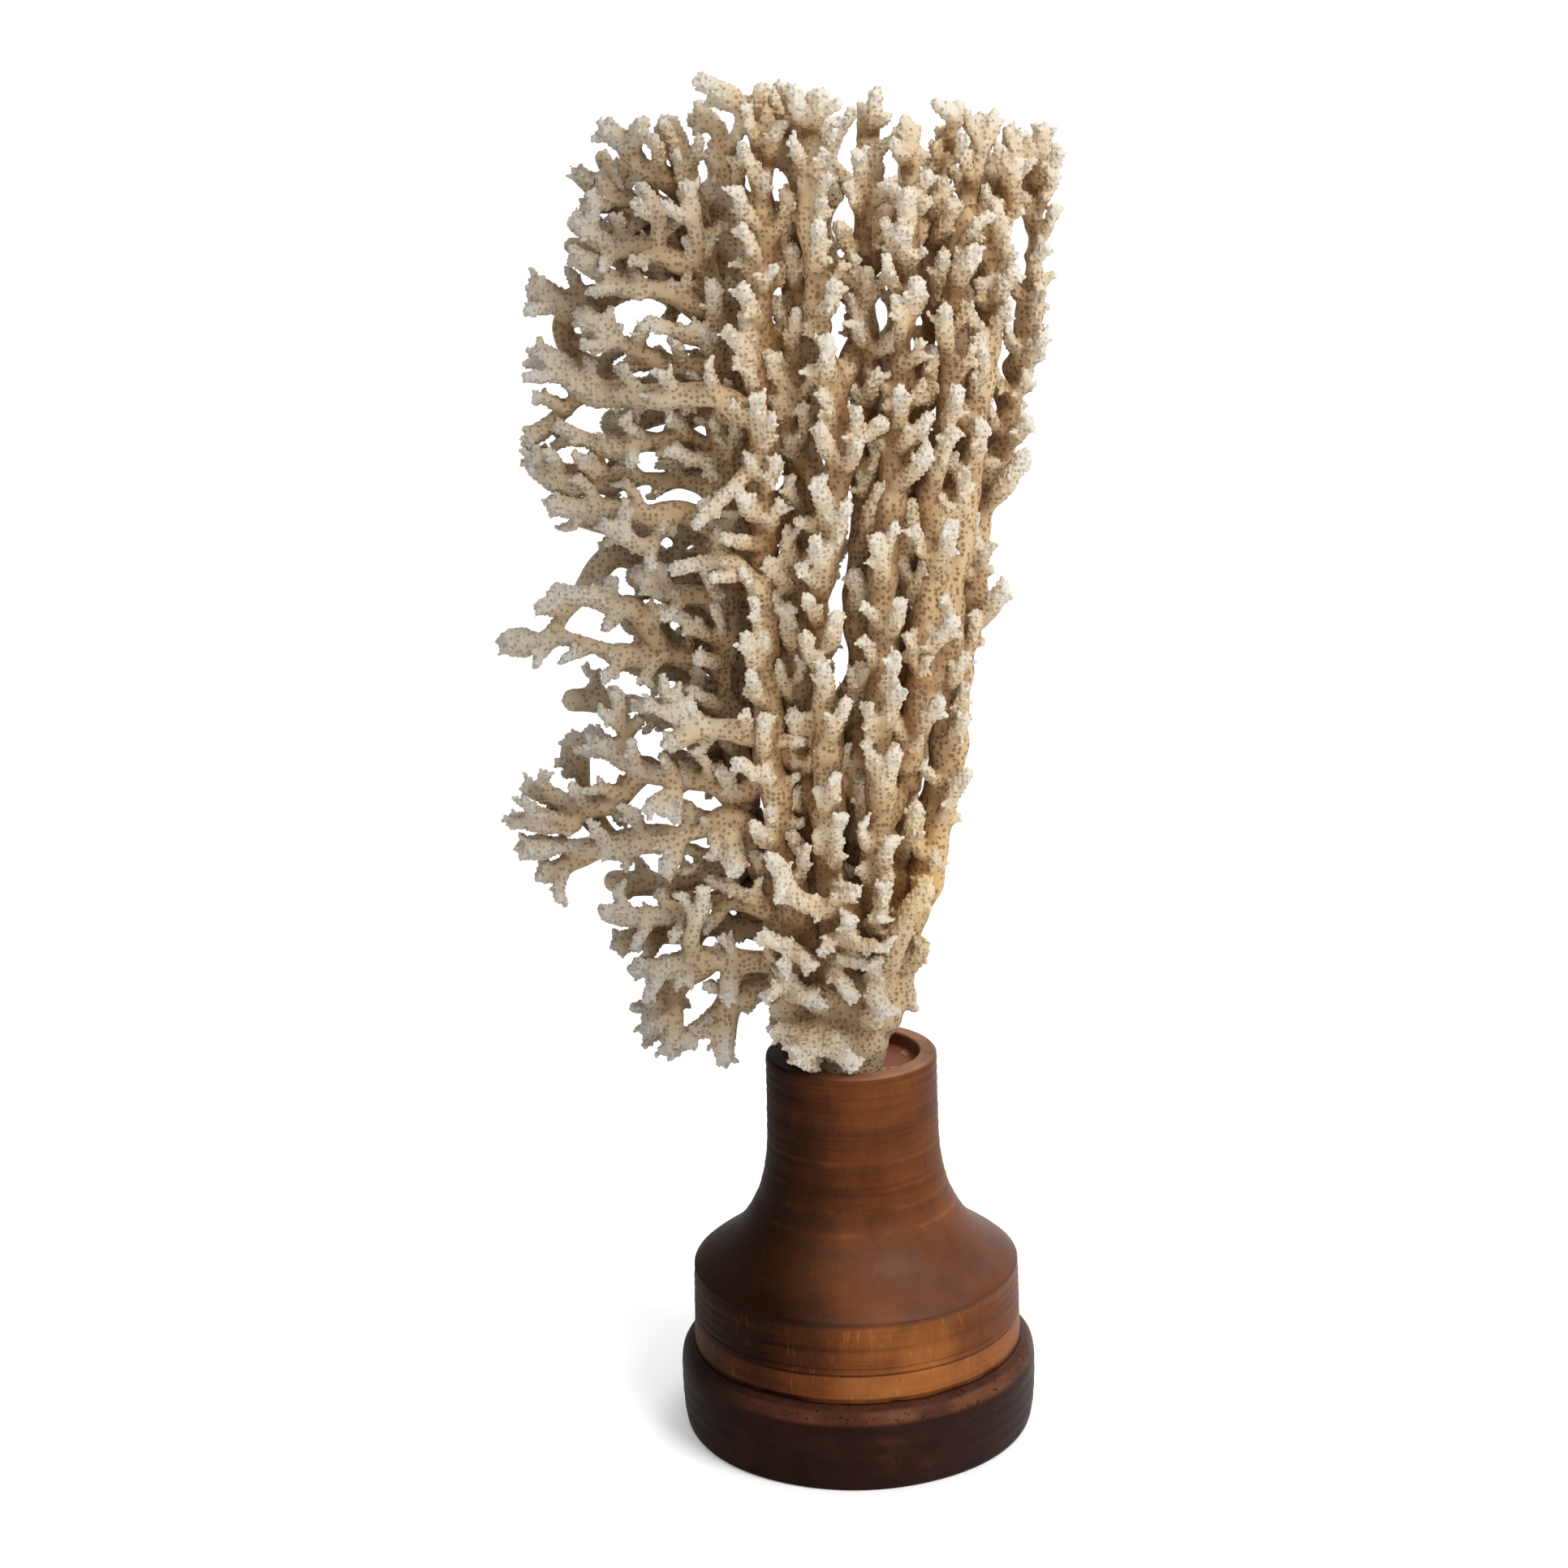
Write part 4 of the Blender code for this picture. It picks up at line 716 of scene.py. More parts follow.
# %% Front and back twigs
TWIG_REACH, TWIG_FULLNESS, TWIG_TAPER = 11.0, 0.9, 0.58
BACK_SPACING, BACK_TURN, BACK_SWING = 22.0, 99.0, 62.0
BACK_LENGTH, BACK_RADIUS, BACK_RISE = 15.0, 3.2, 0.9
SMALL_SWING, SMALL_LENGTH, SMALL_RADIUS = 80.0, 12.0, 2.5


def rib_seen_at(spot):
    """The front rib, and its station, whose picture on the middle plane is nearest to a seen spot."""
    found = []
    for name in RIBS:
        if "back_" not in name:
            apart = np.linalg.norm(seen(limbs[name][0]["centre"]) - spot, axis=1)
            found.append((apart.min(), name, int(apart.argmin())))
    return min(found)[1:]


for tip_x, tip_z, root_x, root_z, radius in FRONT_TWIGS:
    name, station = rib_seen_at(np.array([root_x, 0.0, root_z]))
    root = limbs[name][0]["centre"][station]
    tip = placed((tip_x, root[1] + bow_at(tip_x, tip_z) - TWIG_REACH, tip_z))[0]
    bend = root + 0.5 * (tip - root) + (0.0, -1.6, -1.0)
    twig = limb(
        [root, bend, tip], radius * TWIG_FULLNESS, radius * TWIG_TAPER, "twig", next_number(),
        white=(0.05, 1.0), nubs=(-0.2, 1.2),
    )
    limbs[name].append(flare(twig, "twig"))


def back_twig(rib, distance, swing, length, radius):
    """A far side twig, which leaves the rib at this distance, turned by swing degrees from straight back."""
    root = rib["centre"][at(rib, distance)]
    turn = math.radians(swing)
    out = unit(np.array([math.sin(turn), math.cos(turn), BACK_RISE]))
    bend = root + out * length * 0.5 + (0.0, 0.0, -1.2)
    tip = root + out * length
    twig = limb(
        [root, bend, tip], radius, radius * TWIG_TAPER, "twig", next_number(),
        white=(0.0, 0.9), nubs=(-0.2, 1.0),
    )
    return flare(twig, "twig")


for name in RIBS:
    rib = limbs[name][0]
    if "back_" not in name:
        continue
    for count in range(int(rib["length"] / BACK_SPACING)):
        if count:
            swing = BACK_SWING * math.sin(math.radians(count * BACK_TURN))
            limbs[name].append(back_twig(rib, count * BACK_SPACING, swing, BACK_LENGTH, BACK_RADIUS))
        for part in (1, 2, 3):
            chance = [wobble(rib["number"] + part, count + 9 * step) for step in range(4)]
            distance = (count + (part + 0.45 * chance[0]) / 4.0) * BACK_SPACING
            swing, length = SMALL_SWING * chance[1], SMALL_LENGTH * (1.0 + 0.35 * chance[2])
            radius = SMALL_RADIUS * (1.0 + 0.15 * chance[3])
            limbs[name].append(back_twig(rib, distance, swing, length, radius))
print("limbs with twigs:", sum(len(group) for group in limbs.values()))

# %% [markdown]
# ## Sprigs
#
# Arms and the tops of the ribs carry side shoots as long as a fingertip is wide. They leave a limb to both
# sides by turns, sweep up and towards its tip, and are thinner than it. One that would cross a gap is left
# out. The side of a rib that faces the viewer carries more twigs, one wherever none is seen near yet.

# %% Sprigs
SPRIG_STEP = {"arm": 7.0, "rib": 8.0}
SPRIG_START = {"arm": 0.16, "rib": 0.58}
SPRIG_LIFT = {"arm": 0.25, "rib": 0.7}
SPRIG_LENGTH, SPRIG_RADIUS, SPRIG_ROOM = 8.0, 2.15, 0.6
FRONT_STEP, FRONT_ROOM, FRONT_LENGTH, FRONT_RADIUS, FRONT_LOWEST = 6.5, 6.2, 15.5, 2.3, 188.0
ABOVE_RIB = 2.0


def sprigs_of(one):
    """Side shoots a fixed step apart. out = sideways (to the left and right by turns) + ahead + up."""
    made = []
    start, step = SPRIG_START[one["kind"]] * one["length"], SPRIG_STEP[one["kind"]]
    for count in range(int((one["length"] - start - 2.0) / step)):
        distance = start + (count + 0.5 + 0.35 * wobble(one["number"], count)) * step
        station = at(one, distance)
        ahead = one["ahead"][station]
        beside = unit(np.cross(ahead, (0.0, 1.0, 0.0))) * (1 if count % 2 else -1)
        toward = np.array([0.0, -0.35 + 0.9 * wobble(one["number"] + 11, count), 0.0])
        lift = SPRIG_LIFT[one["kind"]]
        out = unit(beside * 0.85 + toward + ahead * 0.55 + (0.0, 0.0, lift))
        size = 1.0 + 0.35 * wobble(one["number"] + 17, count)
        root = one["centre"][station] + out * one["radius"][station] * 0.3
        tip = root + out * (one["radius"][station] * 0.7 + SPRIG_LENGTH * size)
        bend = (root + tip) / 2 + 0.8 * wobble(one["number"] + 23, count) * ahead
        white = min(1.0, one["white"][station] + 0.25)
        sprig = limb(
            [root, bend, tip], SPRIG_RADIUS * (0.8 + 0.25 * size), SPRIG_RADIUS * 0.62, "sprig",
            next_number(), white=(one["white"][station], white + 0.3), nubs=(0.2, 1.2),
        )
        if room_beside_gaps(sprig["centre"]).min() > SPRIG_ROOM:
            made.append(flare(sprig, "sprig"))
    return made


def front_sprigs_of(rib, taken):
    """More twigs on the side of a rib that faces the viewer, where none is near yet. They lean up, out of the
    fan and a little to the left or right by turns."""
    made = []
    for count in range(int(rib["length"] / FRONT_STEP)):
        station = at(rib, (count + 0.5 + 0.3 * wobble(rib["number"], count)) * FRONT_STEP)
        root = rib["centre"][station]
        if root[2] < FRONT_LOWEST:
            continue
        side = (1.0 if count % 2 else -1.0) * (0.15 + 0.3 * abs(wobble(rib["number"] + 2, count)))
        out = unit(np.array([side, -0.75, 0.95 + 0.2 * wobble(rib["number"] + 4, count)]))
        length = FRONT_LENGTH * (1.0 + 0.3 * wobble(rib["number"] + 6, count))
        tip = root + out * length
        if tip[2] > rib["centre"][-1][2] + ABOVE_RIB:
            continue
        spot = seen(tip[None])[0, [0, 2]]
        if taken and np.linalg.norm(np.array(taken) - spot, axis=1).min() < FRONT_ROOM:
            continue
        taken.append(spot)
        bend = root + 0.5 * (tip - root) + (0.0, -1.2, -0.8)
        sprig = limb(
            [root, bend, tip], FRONT_RADIUS, FRONT_RADIUS * 0.66, "sprig", next_number(),
            white=(0.0, 1.0), nubs=(-0.2, 1.2),
        )
        made.append(flare(sprig, "front"))
    return made


taken = [np.array(row[:2]) for row in FRONT_TWIGS]
for name in RIBS:
    if "back_" not in name:
        limbs[name] += front_sprigs_of(limbs[name][0], taken)
print("front twigs:", len(taken))

for name, group in limbs.items():
    if name != "coral_foot":
        group += [sprig for one in list(group) if one["kind"] in SPRIG_STEP for sprig in sprigs_of(one)]
print("limbs with sprigs:", sum(len(group) for group in limbs.values()))

# %% [markdown]
# ## Side knobs and crowns
#
# Seen close, a twig isn't a plain finger. Short knobs leave its outer half, and its head is a star of small
# bumps. All are limbs again, only very short ones. The knobs that show in the outline or stand out in the
# photograph are given by where their tips are seen. Between them more are set by rule, a golden angle apart,
# as buds are on a stem, which never lines them up in rows.

# %% Knobs that stand out
# Tips (x, z), as seen.
KNOB_TIPS = [
    (22, 146), (24.5, 167.5), (36.8, 212), (35, 225), (37.4, 250), (45.5, 271), (48.6, 294), (50.3, 316),
    (59, 347), (65.5, 362), (64.8, 385), (67, 396), (66.8, 411), (67, 420), (65.8, 432), (61, 430.6),
    (54.8, 431.7), (49.8, 434), (46.3, 435.7), (33.8, 441), (23.7, 436), (17.7, 437), (9.5, 441),
    (2, 442), (-11.5, 446), (-28.4, 437), (-41.5, 434.5), (-37.5, 427), (-59.5, 435.7), (-53.7, 430),
    (-70.5, 427.5), (-75, 412), (-79, 407.5), (-81.5, 400), (-58.5, 417.5), (-64.5, 401.5), (-45, 417),
    (-39.3, 418), (-74.5, 395.5), (-83, 393), (-62.3, 391), (-51, 388.5), (-68, 375), (-61, 373),
    (-29, 371.5), (-36, 370.7), (-51, 363), (-41, 362), (-38.3, 353.5), (-24.7, 350), (-53, 344),
    (-44.3, 345), (-66.5, 343.5), (-81, 332), (-57.5, 325), (-31.5, 337), (-38.9, 323.5), (-43.7, 317),
    (-84, 313.5), (-75, 311), (-68, 308.5), (-61.9, 305.5), (-74.2, 306), (-53.8, 308.7), (-26, 319),
    (-40, 295), (-58.9, 298), (-97.8, 286.8), (-46.3, 280), (-40, 277), (-35, 275.5), (-76, 278.5),
    (-47.3, 267.5), (-40.3, 270.6), (-36, 272.4), (-23, 269), (-25, 265), (-59, 267.5), (-74.8, 256.5),
    (-74, 248.5), (-71, 243.8), (-65.7, 251.5), (-49, 235.7), (-44.6, 253.5), (-83.5, 244.5), (-77, 240),
    (-68, 246), (-60.5, 215.7), (-68.5, 216), (-74.3, 215.5), (-81.5, 208.3), (-92, 230), (-47, 213),
    (-41.3, 222), (-41, 213.6), (-25, 226), (-28, 245.7), (-44.7, 207.5), (-37.8, 196.5), (-66.3, 204),
    (-59, 197), (-36, 188.5), (-31, 185.7), (-75, 174), (-70, 169), (-48.2, 187.5), (-51.5, 180),
    (-42, 179.5), (-36.5, 171.6), (-44.7, 155.3), (-39.3, 152), (-58.5, 145.5), (-42, 145), (-26, 140),
    (-27, 158), (-19.5, 162), (-27.7, 152), (-28.3, 173.5), (-20.5, 176.5), (-9.8, 168), (-21.8, 195.5),
    (-17.2, 189), (-8.6, 182), (-0.5, 174), (-3.5, 152.5), (3.5, 162), (5.8, 247), (-9.8, 213.7),
    (-14.3, 211.7), (-13.5, 202.7), (-14.6, 239.5), (-23.3, 236.3), (-16.3, 227.5), (-23.6, 227),
    (14.4, 264.4), (7.3, 269.3), (-9.6, 272.4), (12.9, 280.2), (15.2, 302.5), (-12.9, 310.7),
    (7.2, 325.5), (15.5, 347.8), (13.5, 342), (-5.4, 383.4), (-2, 391.7), (-7, 403.6), (28.8, 397),
    (29.8, 409), (40.7, 408.2), (36.3, 407.5), (33, 386.4), (-9.6, 418.9), (18, 198),
]
KNOB_SET_BACK, KNOB_FORWARD = 3.0, 0.5
KNOB_THIN, KNOB_THICK = 1.3, 2.6


def knob_to(spot):
    """A knob from the limb that passes nearest to a seen spot, a little nearer to the viewer at its tip."""
    best = (1e9, None, 0, 0)
    for name, group in limbs.items():
        for index, one in enumerate(group):
            if one["kind"] in ("rib", "arm", "twig", "sprig", "trunk") and "back" not in name:
                apart = np.linalg.norm(seen(one["centre"]) - (spot[0], 0.0, spot[1]), axis=1) - one["radius"]
                if apart.min() < best[0]:
                    best = (apart.min(), name, index, int(apart.argmin()))
    gap, name, index, station = best
    one = limbs[name][index]
    back = at(one, one["along"][station] - KNOB_SET_BACK)
    root = one["centre"][back]
    tip = placed((spot[0], root[1] + bow_at(*spot) - KNOB_FORWARD * (gap + 4.0), spot[1]))[0]
    size = float(np.clip(KNOB_THIN + 0.11 * max(gap, 0.0), KNOB_THIN, KNOB_THICK))
    knob = limb(
        [root, (root + tip) / 2, tip], size * 1.5, size, "knob", next_number(),
        white=(one["white"][station], 1.0), nubs=(0.2, 1.0),
    )
    return name, knob


found = [knob_to(spot) for spot in KNOB_TIPS]
for name, knob in found:
    limbs[name].append(knob)
print("knobs that stand out:", len(found))

# %% Knobs by rule, and crowns
KNOB_STEP = {"foot twig": 2.2, "lump": 3.0, "twig": 2.9, "sprig": 3.4, "arm": 5.0, "rib": 6.0}
KNOB_START = {"foot twig": 0.25, "lump": 0.5, "twig": 0.5, "sprig": 0.45, "arm": 0.3, "rib": 0.87}
KNOB_RADIUS, KNOB_LENGTH = 1.1, 3.0
CROWN_BUMPS = 5


def knobs_of(one):
    """Short limbs a fixed step apart on the outer part of a limb, each turned on by the golden angle."""
    made = []
    start = KNOB_START[one["kind"]] * one["length"]
    step = KNOB_STEP[one["kind"]]
    for count in range(int((one["length"] - start - 1.0) / step) + 1):
        distance = start + (count + 0.3 + 0.3 * wobble(one["number"], count)) * step
        station = at(one, distance)
        if one["nubs"][station] < 0.2:
            continue
        angle = one["number"] + count * GOLDEN_ANGLE
        size = 0.75 + 0.45 * wobble(one["number"] + 5, count)
        out = unit(sideways(one, station, angle) * 0.8 + one["ahead"][station] * 0.75)
        root = one["centre"][station] + out * one["radius"][station] * 0.4
        tip = root + out * (one["radius"][station] * 0.7 + KNOB_LENGTH * size)
        thick = KNOB_RADIUS * (0.85 + 0.25 * size)
        made.append(
            limb([root, (root + tip) / 2, tip], thick * 1.3, thick * 0.62, "knob", next_number(),
                 (one["white"][station], 1.0), (0.5, 0.9))
        )
    return made


def crown_of(one):
    """Blunt points that stand out like a star round the tip of a limb, and one on it."""
    made = []
    tip, ahead, radius = one["centre"][-1], one["ahead"][-1], one["radius"][-1]
    for count in range(CROWN_BUMPS):
        tilt = 0.0 if count == 0 else 0.95 + 0.3 * wobble(one["number"], count)
        turn = count * math.tau / (CROWN_BUMPS - 1) + one["number"]
        out = math.cos(tilt) * ahead + math.sin(tilt) * sideways(one, -1, turn)
        size = radius * (0.46 + 0.08 * wobble(one["number"] + 3, count))
        root = tip + out * radius * 0.2
        end = tip + out * radius * (1.25 + 0.3 * wobble(one["number"], 9 * count))
        made.append(
            limb([root, (root + end) / 2, end], size, size * 0.6, "bump", next_number(), (1, 1), (0.6, 0.9))
        )
    return made


for name, group in limbs.items():
    parents = [one for one in group if one["kind"] in KNOB_STEP]
    knobs = [knob for one in parents for knob in knobs_of(one)]
    crowned = [one for one in parents if one["nubs"][-1] > 0.3 and one["kind"] != "lump"]
    group += knobs + [bump for one in crowned for bump in crown_of(one)]
print("limbs with knobs and crowns:", sum(len(group) for group in limbs.values()))

# %% [markdown]
# ## From limbs to one skin
#
# Limbs that only overlap would show hard lines where they meet, while real coral flows from one
# into the next. A voxel remesh takes all the limbs of a piece as one solid and gives it a single
# closed skin of small even faces, and a little smoothing rounds the joins. Its faces are even
# enough to be cut finer where nubs are wanted.

# %% Surface of one limb
SECTION_POINTS = 14
CAP_ANGLES = np.radians([22.0, 45.0, 66.0, 82.0])
FRONT_VOXEL, BACK_VOXEL = 0.97, 1.5
SMOOTH_ROUNDS = 2


def limb_surface(one):
    """place(station, angle) = centre + radius x (cos angle x across + sin angle x over). Past both ends the
    circle shrinks as a quarter round: radius x cos(cap), set forward by radius x sin(cap)."""
    head, tail = one["radius"][-1], one["radius"][0]
    centre = np.vstack([
        one["centre"][0] - one["ahead"][0] * (tail * np.sin(CAP_ANGLES[::-1]))[:, None],
        one["centre"],
        one["centre"][-1] + one["ahead"][-1] * (head * np.sin(CAP_ANGLES))[:, None],
    ])
    radius = np.concatenate([tail * np.cos(CAP_ANGLES[::-1]), one["radius"], head * np.cos(CAP_ANGLES)])
    caps = len(CAP_ANGLES)
    across, over = (
        np.vstack([one[key][:1].repeat(caps, 0), one[key], one[key][-1:].repeat(caps, 0)])
        for key in ("across", "over")
    )
    angle = np.linspace(0.0, math.tau, SECTION_POINTS, endpoint=False)[None, :, None]
    ring = np.cos(angle) * across[:, None] + np.sin(angle) * over[:, None]
    return centre[:, None] + ring * radius[:, None, None]


def tube_faces(rows, columns, first):
    """Quads between neighbouring rings, wound to face outwards, and one flat face over each end."""
    low = first + np.arange(rows - 1)[:, None] * columns + np.arange(columns)
    nxt = first + np.arange(rows - 1)[:, None] * columns + (np.arange(columns) + 1) % columns
    quads = np.stack([low, nxt, nxt + columns, low + columns], axis=-1).reshape(-1, 4)
    start = list(range(first + columns - 1, first - 1, -1))
    end = list(range(first + (rows - 1) * columns, first + rows * columns))
    return quads.tolist() + [start, end]


def raw_piece(name, group):
    """All the limbs of a piece in one mesh, still overlapping."""
    places, faces, first = [], [], 0
    for one in group:
        grid = limb_surface(one)
        places.append(grid.reshape(-1, 3))
        faces += tube_faces(grid.shape[0], grid.shape[1], first)
        first += grid.shape[0] * grid.shape[1]
    mesh = bpy.data.meshes.new(name)
    mesh.from_pydata((np.vstack(places) * MM).tolist(), [], faces)
    piece = bpy.data.objects.new(name, mesh)
    bpy.context.scene.collection.objects.link(piece)
    return piece


# %% One skin for each piece
def apply_modifiers(piece):
    """Replaces a piece's mesh by what its modifiers make of it."""
    bpy.context.view_layer.update()
    made = bpy.data.meshes.new_from_object(piece.evaluated_get(bpy.context.evaluated_depsgraph_get()))
    piece.modifiers.clear()
    piece.data = made


def skin_of(name, group):
    """The remeshed and smoothed skin of a piece's limbs."""
    piece = raw_piece(name, group)
    remesh = piece.modifiers.new("one skin", "REMESH")
    remesh.mode = "VOXEL"
    remesh.voxel_size = (BACK_VOXEL if "back_" in name else FRONT_VOXEL) * MM
    smooth = piece.modifiers.new("rounded joins", "SMOOTH")
    smooth.factor = 0.5
    smooth.iterations = SMOOTH_ROUNDS
    apply_modifiers(piece)
    return piece


def numbers_of(items, what, width=1):
    """One property of all vertices or faces as a numpy array."""
    values = np.empty(len(items) * width, np.float32)
    items.foreach_get(what, values)
    return values.reshape(-1, width) if width > 1 else values


skins = {name: skin_of("fine_" + name, group) for name, group in limbs.items()}
print("skin faces:", sum(len(skin.data.polygons) for skin in skins.values()))

# %% [markdown]
# ## Which limb a point belongs to
#
# To be as white and as nubbly as its limb is there, a surface point has to know which limb it lies on and
# how far along. Every point is measured against all the stations of its own piece, and belongs to the
# station whose circle it lies nearest to.

# %% Places along the limbs
CHUNK = 3000


def joined(group, key):
    """One property of all the stations of a group of limbs."""
    return np.concatenate([one[key] for one in group]).astype(np.float32)


def limb_places(points, group):
    """For each point: the index of its station."""
    centre, radius = joined(group, "centre"), joined(group, "radius")
    size = (centre**2).sum(1)
    best = np.empty(len(points), int)
    for first in range(0, len(points), CHUNK):
        part = points[first : first + CHUNK]
        square = (part**2).sum(1)[:, None] + size - 2.0 * part @ centre.T
        away = np.sqrt(np.maximum(square, 0.0)) - radius
        best[first : first + CHUNK] = away.argmin(1)
    return best


# %% [markdown]
# ## Nubs
#
# The outer twigs are covered in nubs, the little cups that each polyp sat in, a millimetre and a half
# apart and leaning towards the tip. They need finer faces than the smooth ribs do, so only the quads
# that will carry nubs are cut in four. Space is then cut into small cubes with one scattered spot in
# each. The nearer a surface point is to a spot, the higher it rises. Unlike rows round the limb, this
# works on rounded heads and in forks too.

# %% Cutting the chosen quads in four
def split_faces(corners, sides, ends, chosen, values):
    """A chosen quad becomes four round its centre. A neighbour that isn't chosen takes up the
    middle points of the shared sides, so the skin stays closed. Each new point's values are the
    mean of its edge's or face's."""
    split = np.zeros(len(ends), bool)
    split[sides[chosen].ravel()] = True
    middle = len(values) + np.cumsum(split) - 1
    centre = len(values) + int(split.sum()) + np.arange(int(chosen.sum()))
    values = np.vstack([values, values[ends[split]].mean(1), values[corners[chosen]].mean(1)])
    ring = np.empty((len(corners), 8), int)
    ring[:, 0::2], ring[:, 1::2] = corners, middle[sides]
    whole = ring[chosen]
    quarters = [
        np.stack([whole[:, 2 * k], whole[:, 2 * k + 1], centre, whole[:, 2 * k - 1]], 1) for k in range(4)
    ]
    fine = np.stack(quarters, 1).reshape(-1, 4)
    there = np.ones((int((~chosen).sum()), 8), bool)
    there[:, 1::2] = split[sides[~chosen]]
    loops = np.concatenate([fine.ravel(), ring[~chosen][there]])
    sizes = np.concatenate([np.full(len(fine), 4), there.sum(1)])
    return loops, sizes, values


def mesh_of(name, points, loops, sizes):
    """A mesh from its points, the corners of all faces in a row, and each face's number of corners."""
    mesh = bpy.data.meshes.new(name)
    mesh.vertices.add(len(points))
    mesh.vertices.foreach_set("co", (points * MM).astype(np.float32).ravel())
    mesh.loops.add(len(loops))
    mesh.loops.foreach_set("vertex_index", loops.astype(np.int32))
    mesh.polygons.add(len(sizes))
    mesh.polygons.foreach_set("loop_start", np.append(0, np.cumsum(sizes)[:-1]).astype(np.int32))
    mesh.update(calc_edges=True)
    mesh.validate()
    return mesh


def spread(values, ends, rounds):
    """Each point moves half-way to the mean of its neighbours along the edges, again and again."""
    first, second = ends.T
    share = np.bincount(ends.ravel(), minlength=len(values))
    for _ in range(rounds):
        total = np.bincount(first, values[second], len(values))
        total = total + np.bincount(second, values[first], len(values))
        values = 0.5 * values + 0.5 * total / share
    return values


# %% Raising the nubs
NUB_CELL, NUB_HEIGHT, NUB_LEAN, NUB_LIMIT = 1.35, 0.85, 0.75, 0.5
SPREAD_ROUNDS = 8
KEY_FACTORS, SCATTER_FACTOR = (12.9898, 78.233, 37.719, 4.581), 43758.5453


def scattered(*keys):
    """Numbers from 0 to 1 that look random but follow from the keys: the fraction of a large sine."""
    value = np.sin(sum(key * factor for key, factor in zip(keys, KEY_FACTORS))) * SCATTER_FACTOR
    return value - np.floor(value)


def nub_hills(points):
    """1 at a scattered spot, falling to 0 at three quarters of a cell from the nearest one."""
    cell = np.floor(points / NUB_CELL)
    nearest = np.full(len(points), 9.0)
    for step in np.ndindex(3, 3, 3):
        near = cell + np.array(step) - 1.0
        spot = np.stack([0.15 + 0.7 * scattered(*near.T, axis) for axis in (1.0, 2.0, 3.0)], axis=1)
        nearest = np.minimum(nearest, (((near + spot) - points / NUB_CELL) ** 2).sum(1))
    return smooth_step(0.72, 0.12, np.sqrt(nearest))


def nubbly(name, skin, group):
    """The skin with finer faces where it is nubbly, its nubs raised, and how white each point is."""
    mesh = skin.data
    points = numbers_of(mesh.vertices, "co", 3).astype(float) / MM
    ends = numbers_of(mesh.edges, "vertices", 2).astype(int)
    best = limb_places(points.astype(np.float32), group)
    nubs = spread(np.clip(joined(group, "nubs")[best], 0.0, 1.0), ends, SPREAD_ROUNDS)
    white = spread(np.clip(joined(group, "white")[best], 0.0, 1.0), ends, SPREAD_ROUNDS)
    values = np.column_stack([points, nubs, white, joined(group, "ahead")[best]])
    corners = numbers_of(mesh.loops, "vertex_index").astype(int).reshape(-1, 4)
    sides = numbers_of(mesh.loops, "edge_index").astype(int).reshape(-1, 4)
    chosen = nubs[corners].mean(1) > NUB_LIMIT
    loops, sizes, values = split_faces(corners, sides, ends, chosen, values)
    skin.data = mesh_of(name, values[:, :3], loops, sizes)
    bpy.data.meshes.remove(mesh)
    points, nubs, white, ahead = values[:, :3], values[:, 3], values[:, 4], values[:, 5:]
    outward = numbers_of(skin.data.vertex_normals, "vector", 3)
    hills = nub_hills(points) * smooth_step(0.1, 0.6, nubs)
    points = points + unit(outward + NUB_LEAN * ahead) * (hills * NUB_HEIGHT)[:, None]
    skin.data.vertices.foreach_set("co", (points * MM).astype(np.float32).ravel())
    skin.data.update()
    return points, outward, white, hills


measured = {name: nubbly("fine_" + name, skin, limbs[name]) for name, skin in skins.items()}
triangles = {name: len(skin.data.loops) - 2 * len(skin.data.polygons) for name, skin in skins.items()}
most = max(triangles, key=triangles.get)
print("triangles:", sum(triangles.values()), "most:", triangles[most], most)

# %% [markdown]
# ## Brown stain and painted shade between the limbs
#
# Bare coral is white where sun and hands reached it, and stays brown between the limbs. The darkening there is
# partly that brown stain and partly painted shade. How enclosed a point is can be read from how much coral
# lies round the spot a few millimetres in front of it. All the surface points are counted in a coarse grid,
# the grid is blurred, and each point looks up the value ahead of it.

# %% How enclosed each point is, which sets its stain and painted shade
CELL, BLUR, LOOK_AHEAD = 2.0, 7.0, 6.0


def blurred_counts(points, low, shape):
    """Points in each cell, spread over a ball-like bell of width BLUR by multiplying in frequency space."""
    cell = ((points - low) / CELL).astype(int)
    counts = np.bincount(np.ravel_multi_index(cell.T, shape), minlength=int(np.prod(shape))).reshape(shape)
    waves = np.meshgrid(*(np.fft.fftfreq(n, CELL) for n in shape), indexing="ij")
    bell = np.exp(-2.0 * (math.pi * BLUR) ** 2 * sum(wave**2 for wave in waves))
    return np.fft.ifftn(np.fft.fftn(counts) * bell).real


def looked_up(grid, low, points):
    """The grid's value at each point, blended between the eight cells round it."""
    place = np.clip((points - low) / CELL - 0.5, 0.0, np.array(grid.shape) - 1.001)
    base = place.astype(int)
    share = place - base
    total = np.zeros(len(points))
    for corner in np.ndindex(2, 2, 2):
        weight = np.prod(np.where(corner, share, 1.0 - share), axis=1)
        total += weight * grid[tuple((base + corner).T)]
    return total


every_point = np.vstack([values[0] for values in measured.values()])
grid_low = every_point.min(0) - 30.0
grid_shape = tuple(((every_point.max(0) + 30.0 - grid_low) / CELL).astype(int) + 1)
crowding = blurred_counts(every_point, grid_low, grid_shape)
usual = float(np.percentile(looked_up(crowding, grid_low, every_point[::50]), 90))


def keep_value(mesh, name, values):
    """Stores one number per vertex under a name that a material can read."""
    layer = mesh.attributes.new(name, "FLOAT", "POINT")
    layer.data.foreach_set("value", values.astype(np.float32))


